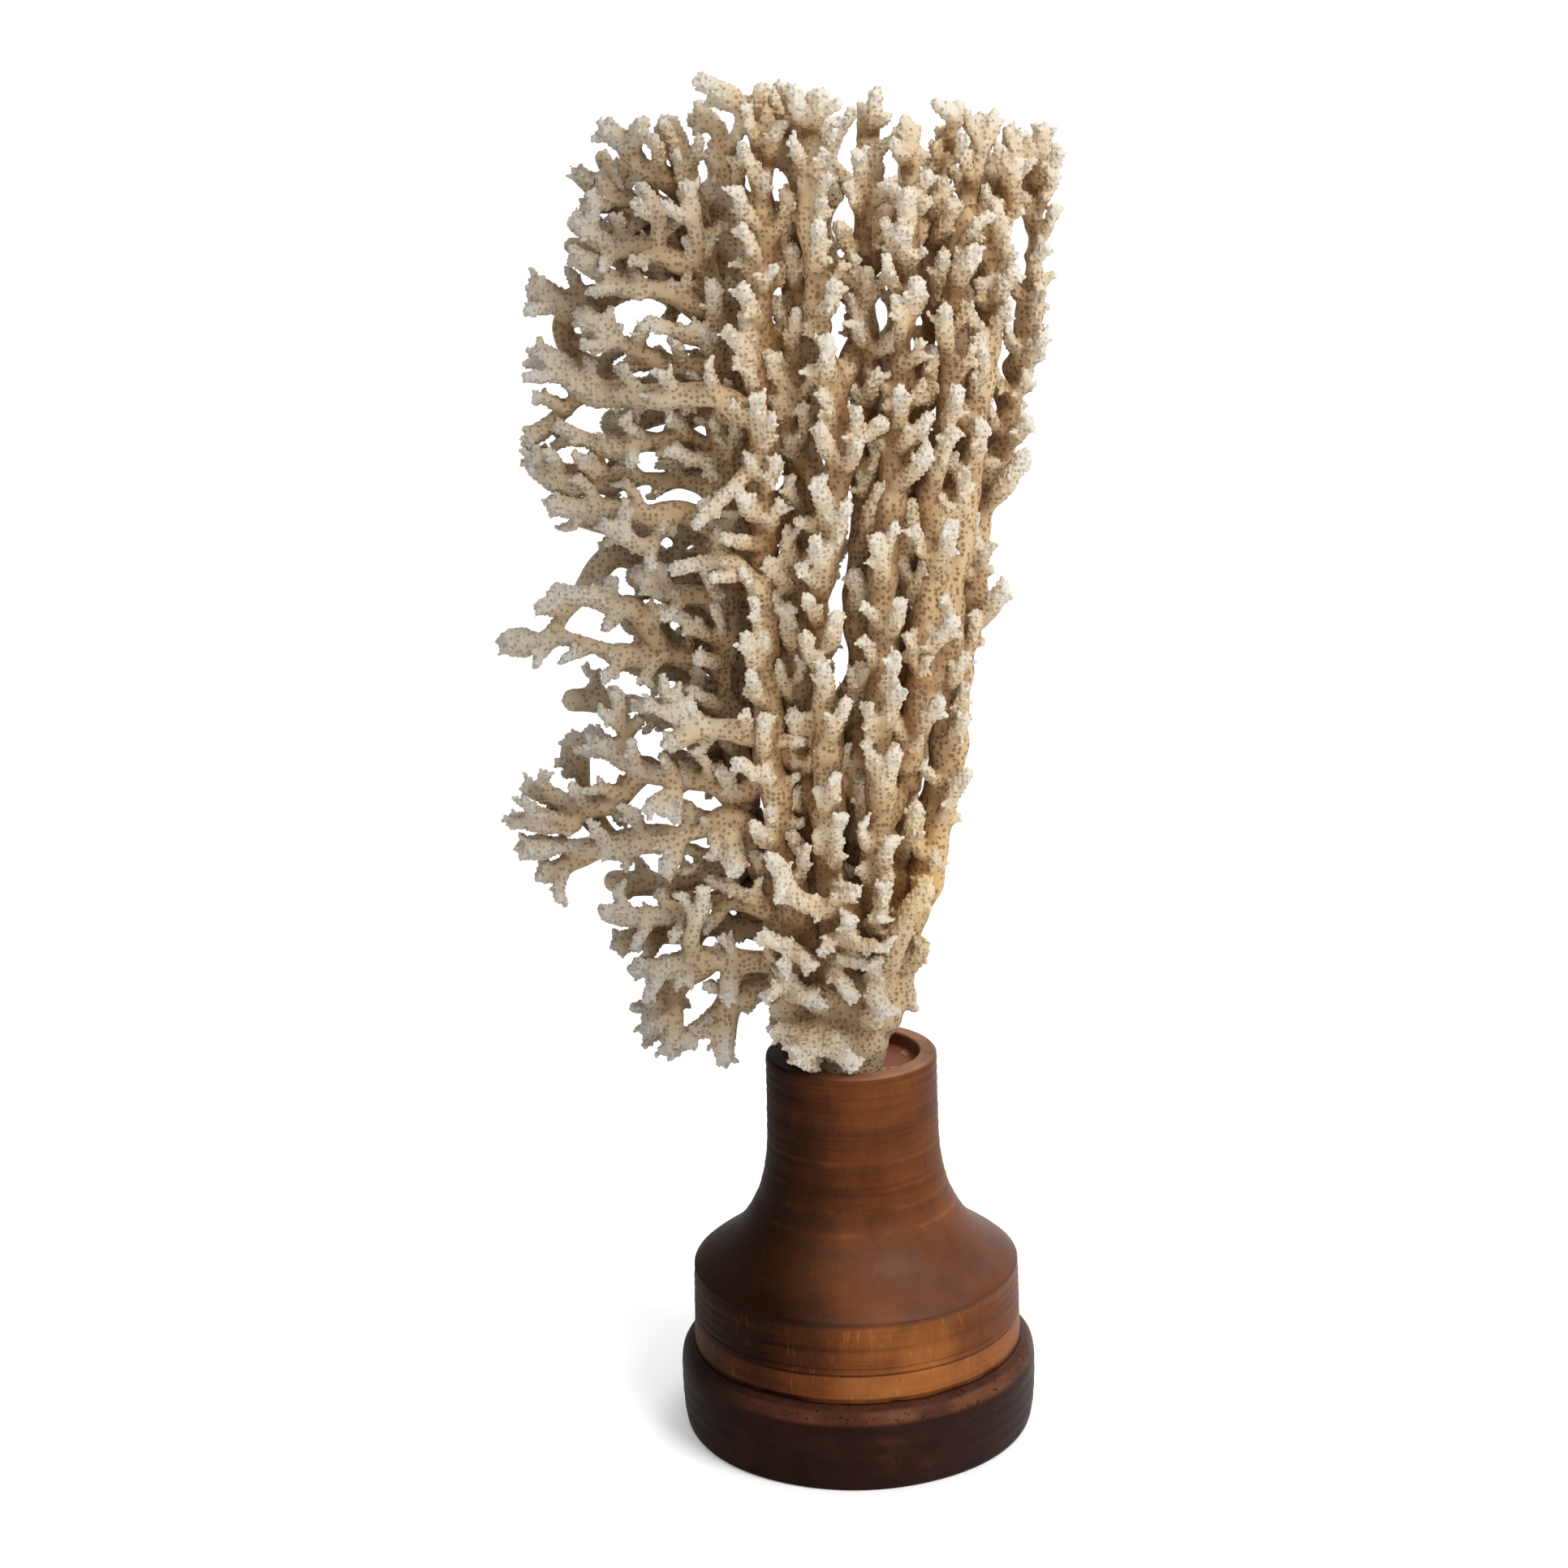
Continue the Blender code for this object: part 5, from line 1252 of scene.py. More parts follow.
for name, (points, outward, white, hills) in measured.items():
    mesh = skins[name].data
    # How enclosed a point is darkens it later: partly brown stain, partly painted shade between the limbs.
    crevice_stain_and_shade = looked_up(crowding, grid_low, points + outward * LOOK_AHEAD) / usual
    keep_value(mesh, "white", white)
    keep_value(mesh, "nub", hills)
    keep_value(mesh, "crevice_stain_and_shade", np.clip(crevice_stain_and_shade, 0.0, 1.0))
    mesh.shade_smooth()
print("grid:", grid_shape, "usual crowding:", round(usual, 1))

# %% [markdown]
# ## The turned stand
#
# The bell was turned on a lathe, so its shape is one outline spun about an axis. Two arrays are
# enough for that: the outline's radius and height, and the angle. What a lathe and a century of
# handling add is small and is added to the same arrays: fine tool ridges, a scored line, chips at
# the lower edge and a slightly uneven rim.

# %% Outlines of the bell and the plinth
STAND_TURNS = 240
RECESS_RADIUS, RIM_RADIUS, STAND_TOP = 23.0, 28.7, 131.8
BELL_FOOT, SHOULDER = 29.2, 56.8
BELL_OUTLINE = [
    (28.8, 116), (29.1, 101), (30.1, 92), (31.8, 84.5), (34, 79), (37.2, 73), (41.3, 67.8), (46.2, 63.6),
    (50.8, 60.4), (53.9, 58),
]
PLINTH_OUTLINE = [
    (56.4, 28.9), (58.9, 27.2), (60.5, 24.0), (60.8, 20.9), (60.8, 13), (60.3, 5), (59.6, 1.2), (58.8, 0),
]


def spun(name, outline, change):
    """place(row, angle) = ((radius + change) cos angle, (radius + change) sin angle, height). The outline
    starts and ends on the axis, where the ring shrinks to one point."""
    radius, height = np.array(outline, float).T
    angle = np.linspace(0.0, math.tau, STAND_TURNS, endpoint=False)
    wide = radius[:, None] + change(radius[:, None], height[:, None], angle[None, :])
    grid = np.stack([wide * np.cos(angle), wide * np.sin(angle), height[:, None] + 0.0 * wide], axis=-1)
    top, rings, bottom = grid[0, :1], grid[1:-1].reshape(-1, 3), grid[-1, :1]
    rows = len(outline) - 2
    column = np.arange(STAND_TURNS)
    after = (column + 1) % STAND_TURNS
    row = 1 + np.arange(rows - 1)[:, None] * STAND_TURNS
    below = row + STAND_TURNS
    quads = np.stack([row + column, below + column, below + after, row + after], axis=-1)
    last = 1 + (rows - 1) * STAND_TURNS
    lid = np.stack([0 * column, 1 + column, 1 + after], axis=-1)
    base = np.stack([last + after, last + column, 0 * column + last + STAND_TURNS], axis=-1)
    mesh = bpy.data.meshes.new(name)
    places = np.vstack([top, rings, bottom]) * MM
    mesh.from_pydata(places.tolist(), [], quads.reshape(-1, 4).tolist() + lid.tolist() + base.tolist())
    mesh.shade_smooth()
    piece = bpy.data.objects.new(name, mesh)
    bpy.context.scene.collection.objects.link(piece)
    return piece


def evenly(points, step):
    """Straight lines through the points, cut into steps of about the given length."""
    points = np.asarray(points, float)
    length = np.append(0.0, np.cumsum(np.linalg.norm(np.diff(points, axis=0), axis=1)))
    spots = np.unique(np.concatenate([length, np.arange(0.0, length[-1], step)]))
    return np.stack([np.interp(spots, length, points[:, k]) for k in (0, 1)], axis=1)


def rounded_line(points):
    """The same outline as a smooth curve."""
    flat = np.column_stack([np.array(points, float), np.zeros(len(points))])
    return curve_through(flat)[0][:, :2]


def rounded_corner(corner, size, start, end, count=6):
    """A quarter round of the given size at a corner, from one angle to another, in degrees."""
    turn = np.radians(np.linspace(start, end, count))
    return np.array(corner) + size * np.column_stack([np.cos(turn), np.sin(turn)])


# %% The bell
# (angle, half width in degrees, depth) of the chips in the lower edge.
BELL_CHIPS = [
    (238.0, 3.0, 1.5), (246.0, 5.0, 0.9), (229.0, 2.0, 0.8), (283.0, 2.5, 0.8), (304.0, 6.0, 0.5),
    (322.0, 4.0, 0.5),
]
SCORE_HEIGHT, SCORE_DEPTH, SECOND_HEIGHT, SECOND_DEPTH = 38.9, 0.7, 41.2, 0.35


def dip(angle, centre, width, power=2):
    """A soft bump in the angle: 1 at the centre, falling away over the width."""
    apart = (np.degrees(angle) - centre + 180.0) % 360.0 - 180.0
    return np.exp(-np.abs(apart / width) ** power)


def bell_wear(radius, height, angle):
    """Tool ridges, a scored line and chips, all as a change of radius."""
    outside = smooth_step(24.0, 27.5, radius)
    ridges = 0.05 * np.sin(height * 4.1) + 0.04 * np.sin(height * 7.3 + 1.0)
    ridges = ridges + 0.05 * np.sin(height * 1.9 + 2.0)
    score_height = SCORE_HEIGHT + 0.35 * np.sin(angle - 0.6)
    score = -SCORE_DEPTH * np.exp(-(((height - score_height) / 0.32) ** 2))
    score = score * (0.15 + 0.85 * dip(angle, 262.0, 38.0, 4))
    second = -SECOND_DEPTH * np.exp(-(((height - SECOND_HEIGHT) / 0.4) ** 2)) * dip(angle, 235.0, 35.0, 4)
    low_edge = np.exp(-(((height - BELL_FOOT) / 1.3) ** 2))
    chips = sum(depth * dip(angle, centre, width, 4) for centre, width, depth in BELL_CHIPS)
    uneven = 0.12 * np.sin(2.0 * angle + 0.8) + 0.05 * np.sin(5.0 * angle + height * 0.02)
    return outside * (ridges + score + second - low_edge * chips) + uneven * smooth_step(0.0, 20.0, radius)


bell_outline = np.vstack([
    evenly([(0, RECESS_FLOOR), (RECESS_RADIUS - 0.9, RECESS_FLOOR)], 0.8),
    rounded_corner((RECESS_RADIUS - 0.9, RECESS_FLOOR + 0.9), 0.9, -80, 0),
    evenly([(RECESS_RADIUS, RECESS_FLOOR + 1.2), (RECESS_RADIUS, STAND_TOP - 0.8)], 0.5),
    rounded_corner((RECESS_RADIUS + 0.6, STAND_TOP - 0.6), 0.6, 180, 90),
    evenly([(RECESS_RADIUS + 1.0, STAND_TOP), (RIM_RADIUS - 1.8, STAND_TOP - 0.1)], 0.6),
    rounded_corner((RIM_RADIUS - 1.4, STAND_TOP - 1.4), 1.4, 90, 0, 9),
    evenly([(RIM_RADIUS, STAND_TOP - 1.9), (RIM_RADIUS + 0.05, 117)], 0.7),
    rounded_line(BELL_OUTLINE),
    rounded_corner((54.4, SHOULDER - 0.4), 0.9, 40, -10, 5),
    evenly([(55.3, 54.8), (55.45, 50), (55.9, BELL_FOOT + 0.5)], 0.45),
    [(55.6, BELL_FOOT + 0.05), (54.0, BELL_FOOT), (30.0, BELL_FOOT), (0.0, BELL_FOOT)],
])
bell = spun("fine_stand_bell", bell_outline, bell_wear)
print("bell faces:", len(bell.data.polygons))


# %% The plinth
# (angle, half width in degrees, height, half height, depth) of the dents.
PLINTH_DENTS = [
    (276.0, 0.9, 14.0, 2.4, 0.9), (283.5, 1.0, 8.6, 1.8, 0.8), (309.0, 3.5, 19.0, 0.6, 0.35),
    (300.0, 1.2, 17.2, 0.5, 0.3),
]


def plinth_wear(radius, height, angle):
    """A worn bevel, a slightly wavy side, two dents in the front and two scratches."""
    outside = smooth_step(50.0, 56.0, radius)
    wave = 0.12 * np.sin(3.0 * angle + 0.4) + 0.08 * np.sin(7.0 * angle + height * 0.1)
    wave = wave + 0.05 * np.sin(height * 1.3)
    dents = sum(
        depth * dip(angle, centre, width) * np.exp(-(((height - at_height) / tall) ** 2))
        for centre, width, at_height, tall, depth in PLINTH_DENTS
    )
    worn = 0.25 * np.exp(-(((height - 26.0) / 2.5) ** 2)) * np.sin(angle * 11.0) * np.sin(angle * 4.0 + 1.0)
    return outside * (wave + worn - dents)


plinth_outline = np.vstack([
    [(0.0, 28.9), (30.0, 28.9), (52.0, 28.9)],
    evenly([(54.5, 28.9), (56.2, 28.9)], 0.6),
    evenly(rounded_line(PLINTH_OUTLINE), 0.5),
    [(56.0, 0.0), (30.0, 0.0), (0.0, 0.0)],
])
plinth = spun("fine_stand_plinth", plinth_outline, plinth_wear)
print("plinth faces:", len(plinth.data.polygons))

# %% [markdown]
# ## Materials
#
# Every pattern below is worked out by Blender from where a point of the piece is, so it needs no picture and
# looks right from all sides. Small helpers keep the node trees short to read: one adds a node and connects
# its inputs, one does a sum, and the others fade, mix, scatter, stretch and measure.

# %% Helpers for node trees
def add(tree, kind, inputs=(), **settings):
    """A new node. inputs are (socket, value or another node's output)."""
    made = tree.nodes.new(kind)
    for key, value in settings.items():
        setattr(made, key, value)
    for socket, value in inputs:
        if isinstance(value, bpy.types.NodeSocket):
            tree.links.new(value, made.inputs[socket])
        else:
            made.inputs[socket].default_value = value
    return made


def calc(tree, operation, first, second=0.0, third=0.0):
    """The result of one sum."""
    return add(tree, "ShaderNodeMath", [(0, first), (1, second), (2, third)], operation=operation).outputs[0]


def fade(tree, value, low, high):
    """0 below low and 1 above high, or the other way round, with soft ends."""
    return add(
        tree, "ShaderNodeMapRange", [("Value", value), ("From Min", low), ("From Max", high)],
        interpolation_type="SMOOTHSTEP",
    ).outputs["Result"]


def colour_blend(tree, share, first, second, blend_type="MIX"):
    """Two colours mixed by a share."""
    made = add(tree, "ShaderNodeMix", data_type="RGBA", blend_type=blend_type)
    for index, value in ((0, share), (6, first), (7, second)):
        if isinstance(value, bpy.types.NodeSocket):
            tree.links.new(value, made.inputs[index])
        else:
            made.inputs[index].default_value = value
    return made.outputs[2]


def noise(tree, place, scale, detail=3.0, roughness=0.55):
    """Cloudy noise from 0 to 1."""
    return add(
        tree, "ShaderNodeTexNoise",
        [("Vector", place), ("Scale", scale), ("Detail", detail), ("Roughness", roughness)],
    ).outputs["Fac"]


def stretched(tree, place, scale):
    """The same place with each axis multiplied by its own factor."""
    return add(tree, "ShaderNodeMapping", [("Vector", place), ("Scale", scale)]).outputs[0]


def distance_to(tree, place, centre):
    """How far a place is from a centre, in metres."""
    made = add(tree, "ShaderNodeVectorMath", [(0, place), (1, centre)], operation="DISTANCE")
    return made.outputs["Value"]


def new_material(name, roughness):
    """A material with its node tree and its one shader."""
    material = bpy.data.materials.new(name)
    material.use_nodes = True
    shader = material.node_tree.nodes["Principled BSDF"]
    shader.inputs["Roughness"].default_value = roughness
    return material, material.node_tree, shader


# %% [markdown]
# ### Coral
#
# Dry coral is chalk: rough, without gloss. Its colour runs from deep brown between the limbs through
# tan on the ribs to cream and near white on the heads; the brown between the limbs is partly stain and
# partly painted shade. Its left side is greyed as painted shade, its lower right side has yellowed round an
# ochre patch, and the foot is a shade darker. Its pores are dark dots a little over a millimetre wide, partly
# stain and partly painted shade in the pits. A Voronoi texture gives them: the distance to the nearest of
# many scattered points, cut off at a third of their spacing.

# %% Coral material
DEEP_BROWN = (0.215, 0.105, 0.034, 1.0)
TAN = (0.478, 0.336, 0.184, 1.0)
CREAM = (0.535, 0.432, 0.300, 1.0)
CHALK = (0.575, 0.528, 0.448, 1.0)
PORE_BROWN = (0.140, 0.066, 0.024, 1.0)
YELLOW = (1.05, 0.88, 0.45, 1.0)
GREY = (0.52, 0.52, 0.54, 1.0)
OCHRE, OCHRE_PLACE = (0.98, 0.74, 0.34, 1.0), (0.0225, -0.001, 0.1165)
PORE_CELL, PORE_SIZE = 0.00185, 0.36
WHITE_GAIN, PLAIN_LIGHTNESS, STAIN_AND_SHADE_GAIN, NUB_GAIN = 0.60, 0.44, -0.52, 0.16
YELLOW_SHARE, LEFT_SHADE_SHARE, FOOT_SHARE, OCHRE_SHARE = 0.50, 0.75, 0.40, 0.60

coral, tree, shader = new_material("coral_chalk", 0.88)
place = add(tree, "ShaderNodeTexCoord").outputs["Object"]
white, nub, crevice_stain_and_shade = (
    add(tree, "ShaderNodeAttribute", attribute_name=name).outputs["Fac"]
    for name in ("white", "nub", "crevice_stain_and_shade")
)
cloud = noise(tree, place, 60.0)
grain = noise(tree, place, 900.0, 2.0)
mottle = noise(tree, place, 240.0, 3.0)

lightness = calc(tree, "MULTIPLY_ADD", cloud, 0.5, -0.25)
lightness = calc(tree, "ADD", lightness, calc(tree, "MULTIPLY_ADD", mottle, 0.25, -0.125))
lightness = calc(tree, "ADD", lightness, calc(tree, "MULTIPLY_ADD", white, WHITE_GAIN, PLAIN_LIGHTNESS))
# Enclosed places are darker: partly brown stain, partly painted shade between the limbs.
lightness = calc(tree, "ADD", lightness, calc(tree, "MULTIPLY", crevice_stain_and_shade, STAIN_AND_SHADE_GAIN))
lightness = calc(tree, "MULTIPLY_ADD", nub, NUB_GAIN, lightness)
ramp = add(tree, "ShaderNodeValToRGB", [("Fac", lightness)])
ramp.color_ramp.elements[0].color = DEEP_BROWN
ramp.color_ramp.elements[1].color = CHALK
for spot, colour in ((0.33, TAN), (0.66, CREAM)):
    ramp.color_ramp.elements.new(spot).color = colour

axis = add(tree, "ShaderNodeSeparateXYZ", [("Vector", place)])
to_right, to_foot = fade(tree, axis.outputs["X"], 0.008, 0.026), fade(tree, axis.outputs["Z"], 0.26, 0.19)
yellow = calc(tree, "MULTIPLY", to_right, to_foot)
yellow = calc(tree, "MULTIPLY", yellow, fade(tree, cloud, 0.35, 0.6))
yellow = calc(tree, "MULTIPLY", yellow, YELLOW_SHARE)
aged = colour_blend(tree, yellow, ramp.outputs["Color"], YELLOW, "MULTIPLY")
# Painted shade: the left side is greyed, darker because the light comes from the right.
left_grey_shade = calc(tree, "MULTIPLY", fade(tree, axis.outputs["X"], -0.02, -0.080), LEFT_SHADE_SHARE)
aged = colour_blend(tree, left_grey_shade, aged, GREY, "MULTIPLY")
foot_shade = calc(tree, "MULTIPLY", fade(tree, axis.outputs["Z"], 0.19, 0.165), FOOT_SHARE)
aged = colour_blend(tree, foot_shade, aged, GREY, "MULTIPLY")
ochre_apart = distance_to(tree, stretched(tree, place, (1.0, 0.4, 0.62)), OCHRE_PLACE)
ochre = calc(tree, "MULTIPLY", fade(tree, ochre_apart, 0.0095, 0.003), OCHRE_SHARE)
aged = colour_blend(tree, ochre, aged, OCHRE, "MULTIPLY")

spread = noise(tree, place, 350.0, 1.0)
pores = add(
    tree, "ShaderNodeTexVoronoi", [("Vector", place), ("Scale", 1.0 / PORE_CELL), ("Randomness", 0.62)]
).outputs["Distance"]
pore_reach = calc(tree, "MULTIPLY_ADD", white, -0.13, PORE_SIZE)
pore_reach = calc(tree, "ADD", pore_reach, calc(tree, "MULTIPLY_ADD", spread, 0.16, -0.08))
pore = fade(tree, calc(tree, "SUBTRACT", pores, pore_reach), 0.09, -0.07)
# Pores are darkened: partly brown stain, partly painted shade in the pits.
pore_stain_and_shade = calc(tree, "MULTIPLY", pore, calc(tree, "MULTIPLY_ADD", white, -0.45, 0.74))
colour = colour_blend(tree, pore_stain_and_shade, aged, PORE_BROWN)
tree.links.new(colour, shader.inputs["Base Color"])

relief = calc(tree, "MULTIPLY_ADD", pore, -1.0, calc(tree, "MULTIPLY", grain, 0.35))
relief = calc(tree, "MULTIPLY_ADD", mottle, 0.8, relief)
bump = add(tree, "ShaderNodeBump", [("Height", relief), ("Strength", 0.8), ("Distance", 0.0005)])
tree.links.new(bump.outputs["Normal"], shader.inputs["Normal"])
print("coral nodes:", len(tree.nodes))

# %% [markdown]
# ### Turned wood
#
# The bell's grain shows as level bands, because the lathe cut across the rings. Noise that is stretched along
# the bands, and squeezed from band to band, gives them. The polish has gone dull: it is left with a low
# reflection that is a little stronger on the shoulder. Painted shade darkens the left side, and the scored
# lines are dark.

# %% Bell material
# (level, half height, depth of tone) of the dark lines, and the levels of the light ones.
DARK_LINES = [
    (0.0566, 0.0012, 0.12), (0.0480, 0.0014, 0.06), (0.0412, 0.0006, 0.12), (0.0389, 0.0007, 0.34),
    (0.0302, 0.0012, 0.3),
]
LIGHT_LINES = [0.0862, 0.0925, 0.1015, 0.0788]
BELL_DARKEST, BELL_LIGHTEST = (0.012, 0.0045, 0.002, 1.0), (0.50, 0.215, 0.055, 1.0)
BELL_TONES = [
    (0.22, (0.045, 0.014, 0.005, 1.0)), (0.42, (0.120, 0.036, 0.0095, 1.0)),
    (0.66, (0.25, 0.085, 0.022, 1.0)),
]
RECESS_RED, RECESS_GLINT_TONE = (0.19, 0.068, 0.038, 1.0), (0.36, 0.19, 0.13, 1.0)
WAX_IOR, SHOULDER_SHEEN = 1.4, 0.16
RIM_LIT_TAN = (0.25, 0.125, 0.070, 1.0)
PATCH_PLACE = (0.0235, -0.050, 0.0455)

wood, tree, shader = new_material("turned_wood_polish", 0.42)
place = add(tree, "ShaderNodeTexCoord").outputs["Object"]
bands = noise(tree, stretched(tree, place, (0.35, 0.35, 7.0)), 22.0, 4.0, 0.6)
fine_bands = noise(tree, stretched(tree, place, (0.4, 0.4, 30.0)), 45.0, 3.0)
stains = noise(tree, place, 28.0, 4.0, 0.6)
fibres = noise(tree, stretched(tree, place, (1.0, 1.0, 0.12)), 900.0, 2.0)
upright = noise(tree, stretched(tree, place, (1.0, 1.0, 0.2)), 420.0, 3.0, 0.7)
axis = add(tree, "ShaderNodeSeparateXYZ", [("Vector", place)])
across, level = axis.outputs["X"], axis.outputs["Z"]

shoulder = calc(tree, "MULTIPLY", fade(tree, level, 0.053, 0.058), fade(tree, level, 0.092, 0.068))
band_share = calc(tree, "MULTIPLY_ADD", shoulder, -0.24, 0.32)
tone = calc(tree, "MULTIPLY_ADD", calc(tree, "SUBTRACT", bands, 0.5), band_share, 0.29)
fine_share = calc(tree, "MULTIPLY_ADD", shoulder, -0.11, 0.14)
tone = calc(tree, "MULTIPLY_ADD", calc(tree, "SUBTRACT", fine_bands, 0.5), fine_share, tone)
tone = calc(tree, "ADD", tone, calc(tree, "MULTIPLY_ADD", stains, 0.55, -0.27))
tone = calc(tree, "MULTIPLY_ADD", fibres, 0.1, tone)
# Painted shade: the bell's left side is darker, because the light comes from the right.
left_painted_shade = fade(tree, across, 0.004, -0.034)
tone = calc(tree, "MULTIPLY_ADD", left_painted_shade, -0.42, tone)
tone = calc(tree, "MULTIPLY_ADD", shoulder, 0.03, tone)

# The drum is lighter, most of all below its scored line, where light fibres stand up from the seam.
drum = fade(tree, level, 0.056, 0.0545)
low_drum = fade(tree, level, 0.0395, 0.0385)
tone = calc(tree, "MULTIPLY_ADD", drum, 0.10, tone)
tone = calc(tree, "MULTIPLY_ADD", low_drum, 0.13, tone)
patch_apart = distance_to(tree, place, PATCH_PLACE)
tone = calc(tree, "MULTIPLY_ADD", fade(tree, patch_apart, 0.014, 0.004), 0.16, tone)
streak = calc(tree, "MULTIPLY", fade(tree, upright, 0.56, 0.72), drum)
tone = calc(tree, "MULTIPLY_ADD", streak, 0.16, tone)
for line_level, half_height, depth in DARK_LINES:
    apart = calc(tree, "ABSOLUTE", calc(tree, "SUBTRACT", level, line_level))
    line = calc(tree, "MULTIPLY", fade(tree, apart, half_height, 0.0), fade(tree, stains, 0.3, 0.55))
    tone = calc(tree, "MULTIPLY_ADD", line, -depth, tone)
for line_level in LIGHT_LINES:
    apart = calc(tree, "ABSOLUTE", calc(tree, "SUBTRACT", level, line_level))
    line = calc(tree, "MULTIPLY", fade(tree, apart, 0.0013, 0.0), fade(tree, stains, 0.4, 0.6))
    tone = calc(tree, "MULTIPLY_ADD", line, 0.10, tone)

# Painted light: the top of the rim is lighter tan on its right half, broken up by the stain noise. The recess
# floor has kept its red stain, with painted glints: lighter spots that stand in for gloss.
rim_top_light = calc(tree, "MULTIPLY", fade(tree, level, 0.1306, 0.1314), fade(tree, across, -0.012, 0.012))
ramp = add(tree, "ShaderNodeValToRGB", [("Fac", tone)])
ramp.color_ramp.elements[0].color = BELL_DARKEST
ramp.color_ramp.elements[1].color = BELL_LIGHTEST
for spot, colour in BELL_TONES:
    ramp.color_ramp.elements.new(spot).color = colour
level_place = stretched(tree, place, (1.0, 1.0, 0.0))
reach = add(tree, "ShaderNodeVectorMath", [(0, level_place)], operation="LENGTH").outputs["Value"]
recess = calc(tree, "MULTIPLY", fade(tree, reach, 0.0235, 0.0225), fade(tree, level, 0.120, 0.125))
# Painted glints: lighter spots on the red recess floor stand in for gloss.
spots = fade(tree, noise(tree, place, 130.0, 2.0), 0.56, 0.66)
recess_red_and_glints = colour_blend(tree, spots, RECESS_RED, RECESS_GLINT_TONE)
# Painted light: the right half of the rim's top is lighter tan.
rim_light_share = calc(tree, "MULTIPLY", rim_top_light, fade(tree, stains, 0.25, 0.6))
colour = colour_blend(tree, rim_light_share, ramp.outputs["Color"], RIM_LIT_TAN)
colour = colour_blend(tree, recess, colour, recess_red_and_glints)
tree.links.new(colour, shader.inputs["Base Color"])
tree.links.new(calc(tree, "MULTIPLY_ADD", stains, 0.3, 0.34), shader.inputs["Roughness"])
sheen = calc(tree, "MULTIPLY_ADD", fade(tree, across, -0.03, 0.02), 0.06, 0.02)
lit_shoulder = calc(tree, "MULTIPLY", shoulder, fade(tree, across, -0.03, 0.0))
sheen = calc(tree, "MULTIPLY_ADD", lit_shoulder, SHOULDER_SHEEN, sheen)
tree.links.new(sheen, shader.inputs["Specular IOR Level"])
shader.inputs["IOR"].default_value = WAX_IOR
relief = calc(tree, "MULTIPLY_ADD", fine_bands, 0.35, calc(tree, "MULTIPLY", fibres, 0.5))
relief = calc(tree, "MULTIPLY_ADD", stains, 1.5, relief)
bump = add(tree, "ShaderNodeBump", [("Height", relief), ("Strength", 0.5), ("Distance", 0.0003)])
tree.links.new(bump.outputs["Normal"], shader.inputs["Normal"])
print("bell nodes:", len(tree.nodes))

# %% Plinth material
PLINTH_DARKEST, PLINTH_LIGHTEST = (0.010, 0.0045, 0.003, 1.0), (0.26, 0.11, 0.05, 1.0)
PLINTH_TONES = [
    (0.3, (0.022, 0.0085, 0.0055, 1.0)), (0.55, (0.062, 0.021, 0.011, 1.0)),
    (0.75, (0.13, 0.052, 0.026, 1.0)),
]

dark_wood, tree, shader = new_material("dark_wood_polish", 0.45)
place = add(tree, "ShaderNodeTexCoord").outputs["Object"]
clouds = noise(tree, place, 45.0, 5.0, 0.65)
streaks = noise(tree, stretched(tree, place, (1.0, 1.0, 6.0)), 40.0, 4.0)
specks = noise(tree, place, 600.0, 2.0, 0.7)
axis = add(tree, "ShaderNodeSeparateXYZ", [("Vector", place)])
across, level = axis.outputs["X"], axis.outputs["Z"]
bevel = calc(tree, "MULTIPLY", fade(tree, level, 0.0226, 0.0246), fade(tree, across, -0.060, -0.02))
tone = calc(tree, "MULTIPLY_ADD", clouds, 0.8, -0.2)
tone = calc(tree, "ADD", tone, calc(tree, "MULTIPLY_ADD", streaks, 0.3, -0.15))
tone = calc(tree, "MULTIPLY_ADD", bevel, 0.40, tone)
speckle = calc(tree, "MULTIPLY", fade(tree, specks, 0.60, 0.68), bevel)
tone = calc(tree, "MULTIPLY_ADD", speckle, -0.3, tone)
# The top of the plinth, next to the bell's foot, is darker in patches.
darker_top_band = calc(tree, "MULTIPLY", fade(tree, level, 0.0272, 0.0282), fade(tree, clouds, 0.42, 0.55))
tone = calc(tree, "MULTIPLY_ADD", darker_top_band, -0.18, tone)
scratches = noise(tree, stretched(tree, place, (0.35, 1.0, 2.5)), 330.0, 2.0)
scratched = calc(tree, "MULTIPLY", fade(tree, level, 0.024, 0.021), fade(tree, level, 0.013, 0.018))
scratched = calc(tree, "MULTIPLY", fade(tree, across, 0.026, 0.036), scratched)
scratched = calc(tree, "MULTIPLY", scratched, fade(tree, scratches, 0.66, 0.72))
tone = calc(tree, "MULTIPLY_ADD", scratched, 0.45, tone)
# Painted shade: the plinth's left side is darker, because the light comes from the right.
left_painted_shade = fade(tree, across, 0.0, -0.06)
tone = calc(tree, "MULTIPLY_ADD", left_painted_shade, -0.15, tone)
ramp = add(tree, "ShaderNodeValToRGB", [("Fac", tone)])
ramp.color_ramp.elements[0].color = PLINTH_DARKEST
ramp.color_ramp.elements[1].color = PLINTH_LIGHTEST
for spot, colour in PLINTH_TONES:
    ramp.color_ramp.elements.new(spot).color = colour
tree.links.new(ramp.outputs["Color"], shader.inputs["Base Color"])
tree.links.new(calc(tree, "MULTIPLY_ADD", clouds, 0.3, 0.32), shader.inputs["Roughness"])
sheen = calc(tree, "MULTIPLY_ADD", fade(tree, across, -0.03, 0.05), 0.05, 0.02)
tree.links.new(sheen, shader.inputs["Specular IOR Level"])
shader.inputs["IOR"].default_value = WAX_IOR
bump = add(tree, "ShaderNodeBump", [("Height", clouds), ("Strength", 0.4), ("Distance", 0.0006)])
tree.links.new(bump.outputs["Normal"], shader.inputs["Normal"])
print("plinth nodes:", len(tree.nodes))

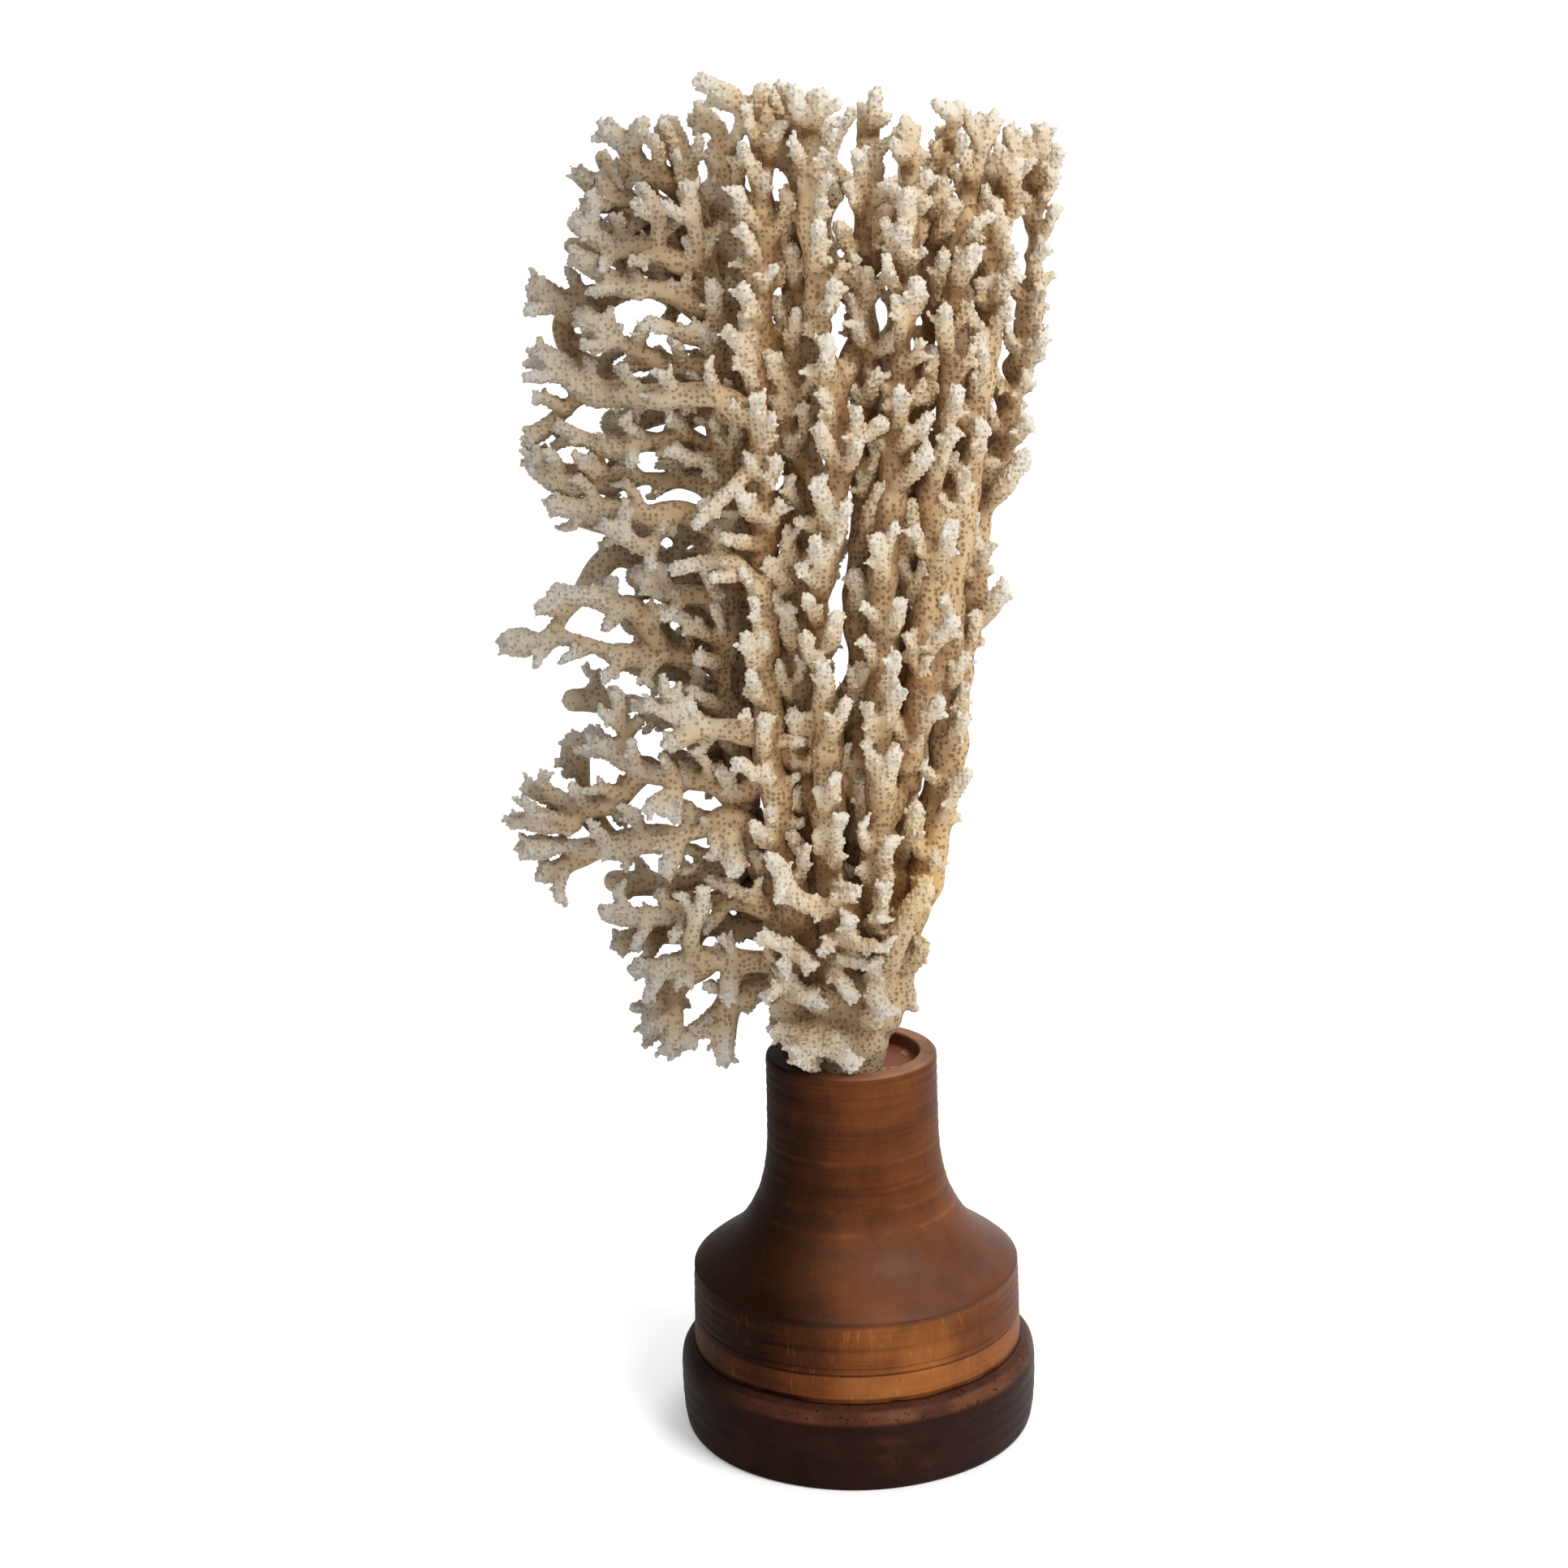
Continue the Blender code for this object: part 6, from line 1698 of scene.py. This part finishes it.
# %% [markdown]
# ## Putting the pieces on the frame
#
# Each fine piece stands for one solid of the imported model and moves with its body. This object has no joints,
# so there is one body, the root.

# %% Pieces and their solids
def dress(piece, material, node):
    """Gives a piece its material, puts it on the root body and hides the solid that it stands for."""
    piece.data.materials.clear()
    piece.data.materials.append(material)
    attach(piece, "root")
    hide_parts(node)


for name, skin in skins.items():
    dress(skin, coral, name)
dress(bell, wood, "stand_bell")
dress(plinth, dark_wood, "stand_plinth")

# %% [markdown]
# ## Floor and light
#
# The photograph has no visible room: white all round, a soft light from above and the right, and a darker
# left side. A floor that curves up into a wall behind has no horizon line, and a faint glow of its own keeps
# it white round the foot. One large soft lamp gives the shape, a second one opens the shadows, a third lights
# the far side, and a pale world fills the rest.

# %% Floor and backdrop
FLOOR_FRONT, FLOOR_BACK, BEND_RADIUS, WALL_TOP, HALF_WIDTH = -3000.0, 1200.0, 800.0, 3500.0, 4000.0
WHITE, FLOOR_GLOW = (1.0, 1.0, 1.0, 1.0), 0.05
turn = np.linspace(0.0, math.pi / 2.0, 24)
floor_line = np.vstack([
    [(FLOOR_FRONT, 0.0)],
    np.column_stack([FLOOR_BACK + BEND_RADIUS * np.sin(turn), BEND_RADIUS * (1.0 - np.cos(turn))]),
    [(FLOOR_BACK + BEND_RADIUS, WALL_TOP)],
])
count = len(floor_line)
sides = [np.column_stack([np.full(count, x), floor_line]) for x in (-HALF_WIDTH, HALF_WIDTH)]
floor_mesh = bpy.data.meshes.new("floor")
step = np.arange(count - 1)
floor_faces = np.stack([step, step + count, step + count + 1, step + 1], axis=-1)
floor_mesh.from_pydata((np.vstack(sides) * MM).tolist(), [], floor_faces.tolist())
floor_mesh.shade_smooth()
floor = bpy.data.objects.new("floor", floor_mesh)
bpy.context.scene.collection.objects.link(floor)
floor_paint, _, floor_shader = new_material("pale_floor", 0.9)
floor_shader.inputs["Base Color"].default_value = WHITE
floor_shader.inputs["Emission Color"].default_value = WHITE
floor_shader.inputs["Emission Strength"].default_value = FLOOR_GLOW
floor_mesh.materials.append(floor_paint)

# %% Lamps
# Each lamp stands at the first place, aims at the second, and has a size in millimetres and a power in watts.
LAMPS = {
    "main_lamp": ((750, -750, 1250), (0, 0, 260), 650, 16.5),
    "fill_lamp": ((-500, -1300, 900), (0, 0, 300), 900, 2.0),
    "back_lamp": ((500, 900, 1300), (0, 0, 250), 700, 6.0),
}
WORLD_STRENGTH = 0.74
for name, (stand_at, aim, size, power) in LAMPS.items():
    lamp = bpy.data.lights.new(name, "AREA")
    lamp.size = size * MM
    lamp.energy = power
    holder = bpy.data.objects.new(name, lamp)
    back = unit(np.array(stand_at, float) - aim)
    right = unit(np.cross((0, 0, 1.0), back))
    holder.matrix_world = Matrix.Translation((np.array(stand_at) * MM).tolist()) @ Matrix(
        np.column_stack([right, np.cross(back, right), back]).tolist()
    ).to_4x4()
    bpy.context.scene.collection.objects.link(holder)

world = bpy.data.worlds.new("soft_room")
world.use_nodes = True
world.node_tree.nodes["Background"].inputs["Color"].default_value = WHITE
world.node_tree.nodes["Background"].inputs["Strength"].default_value = WORLD_STRENGTH
bpy.context.scene.world = world
bpy.context.scene.view_settings.view_transform = "Standard"
print("lamps:", len(LAMPS))
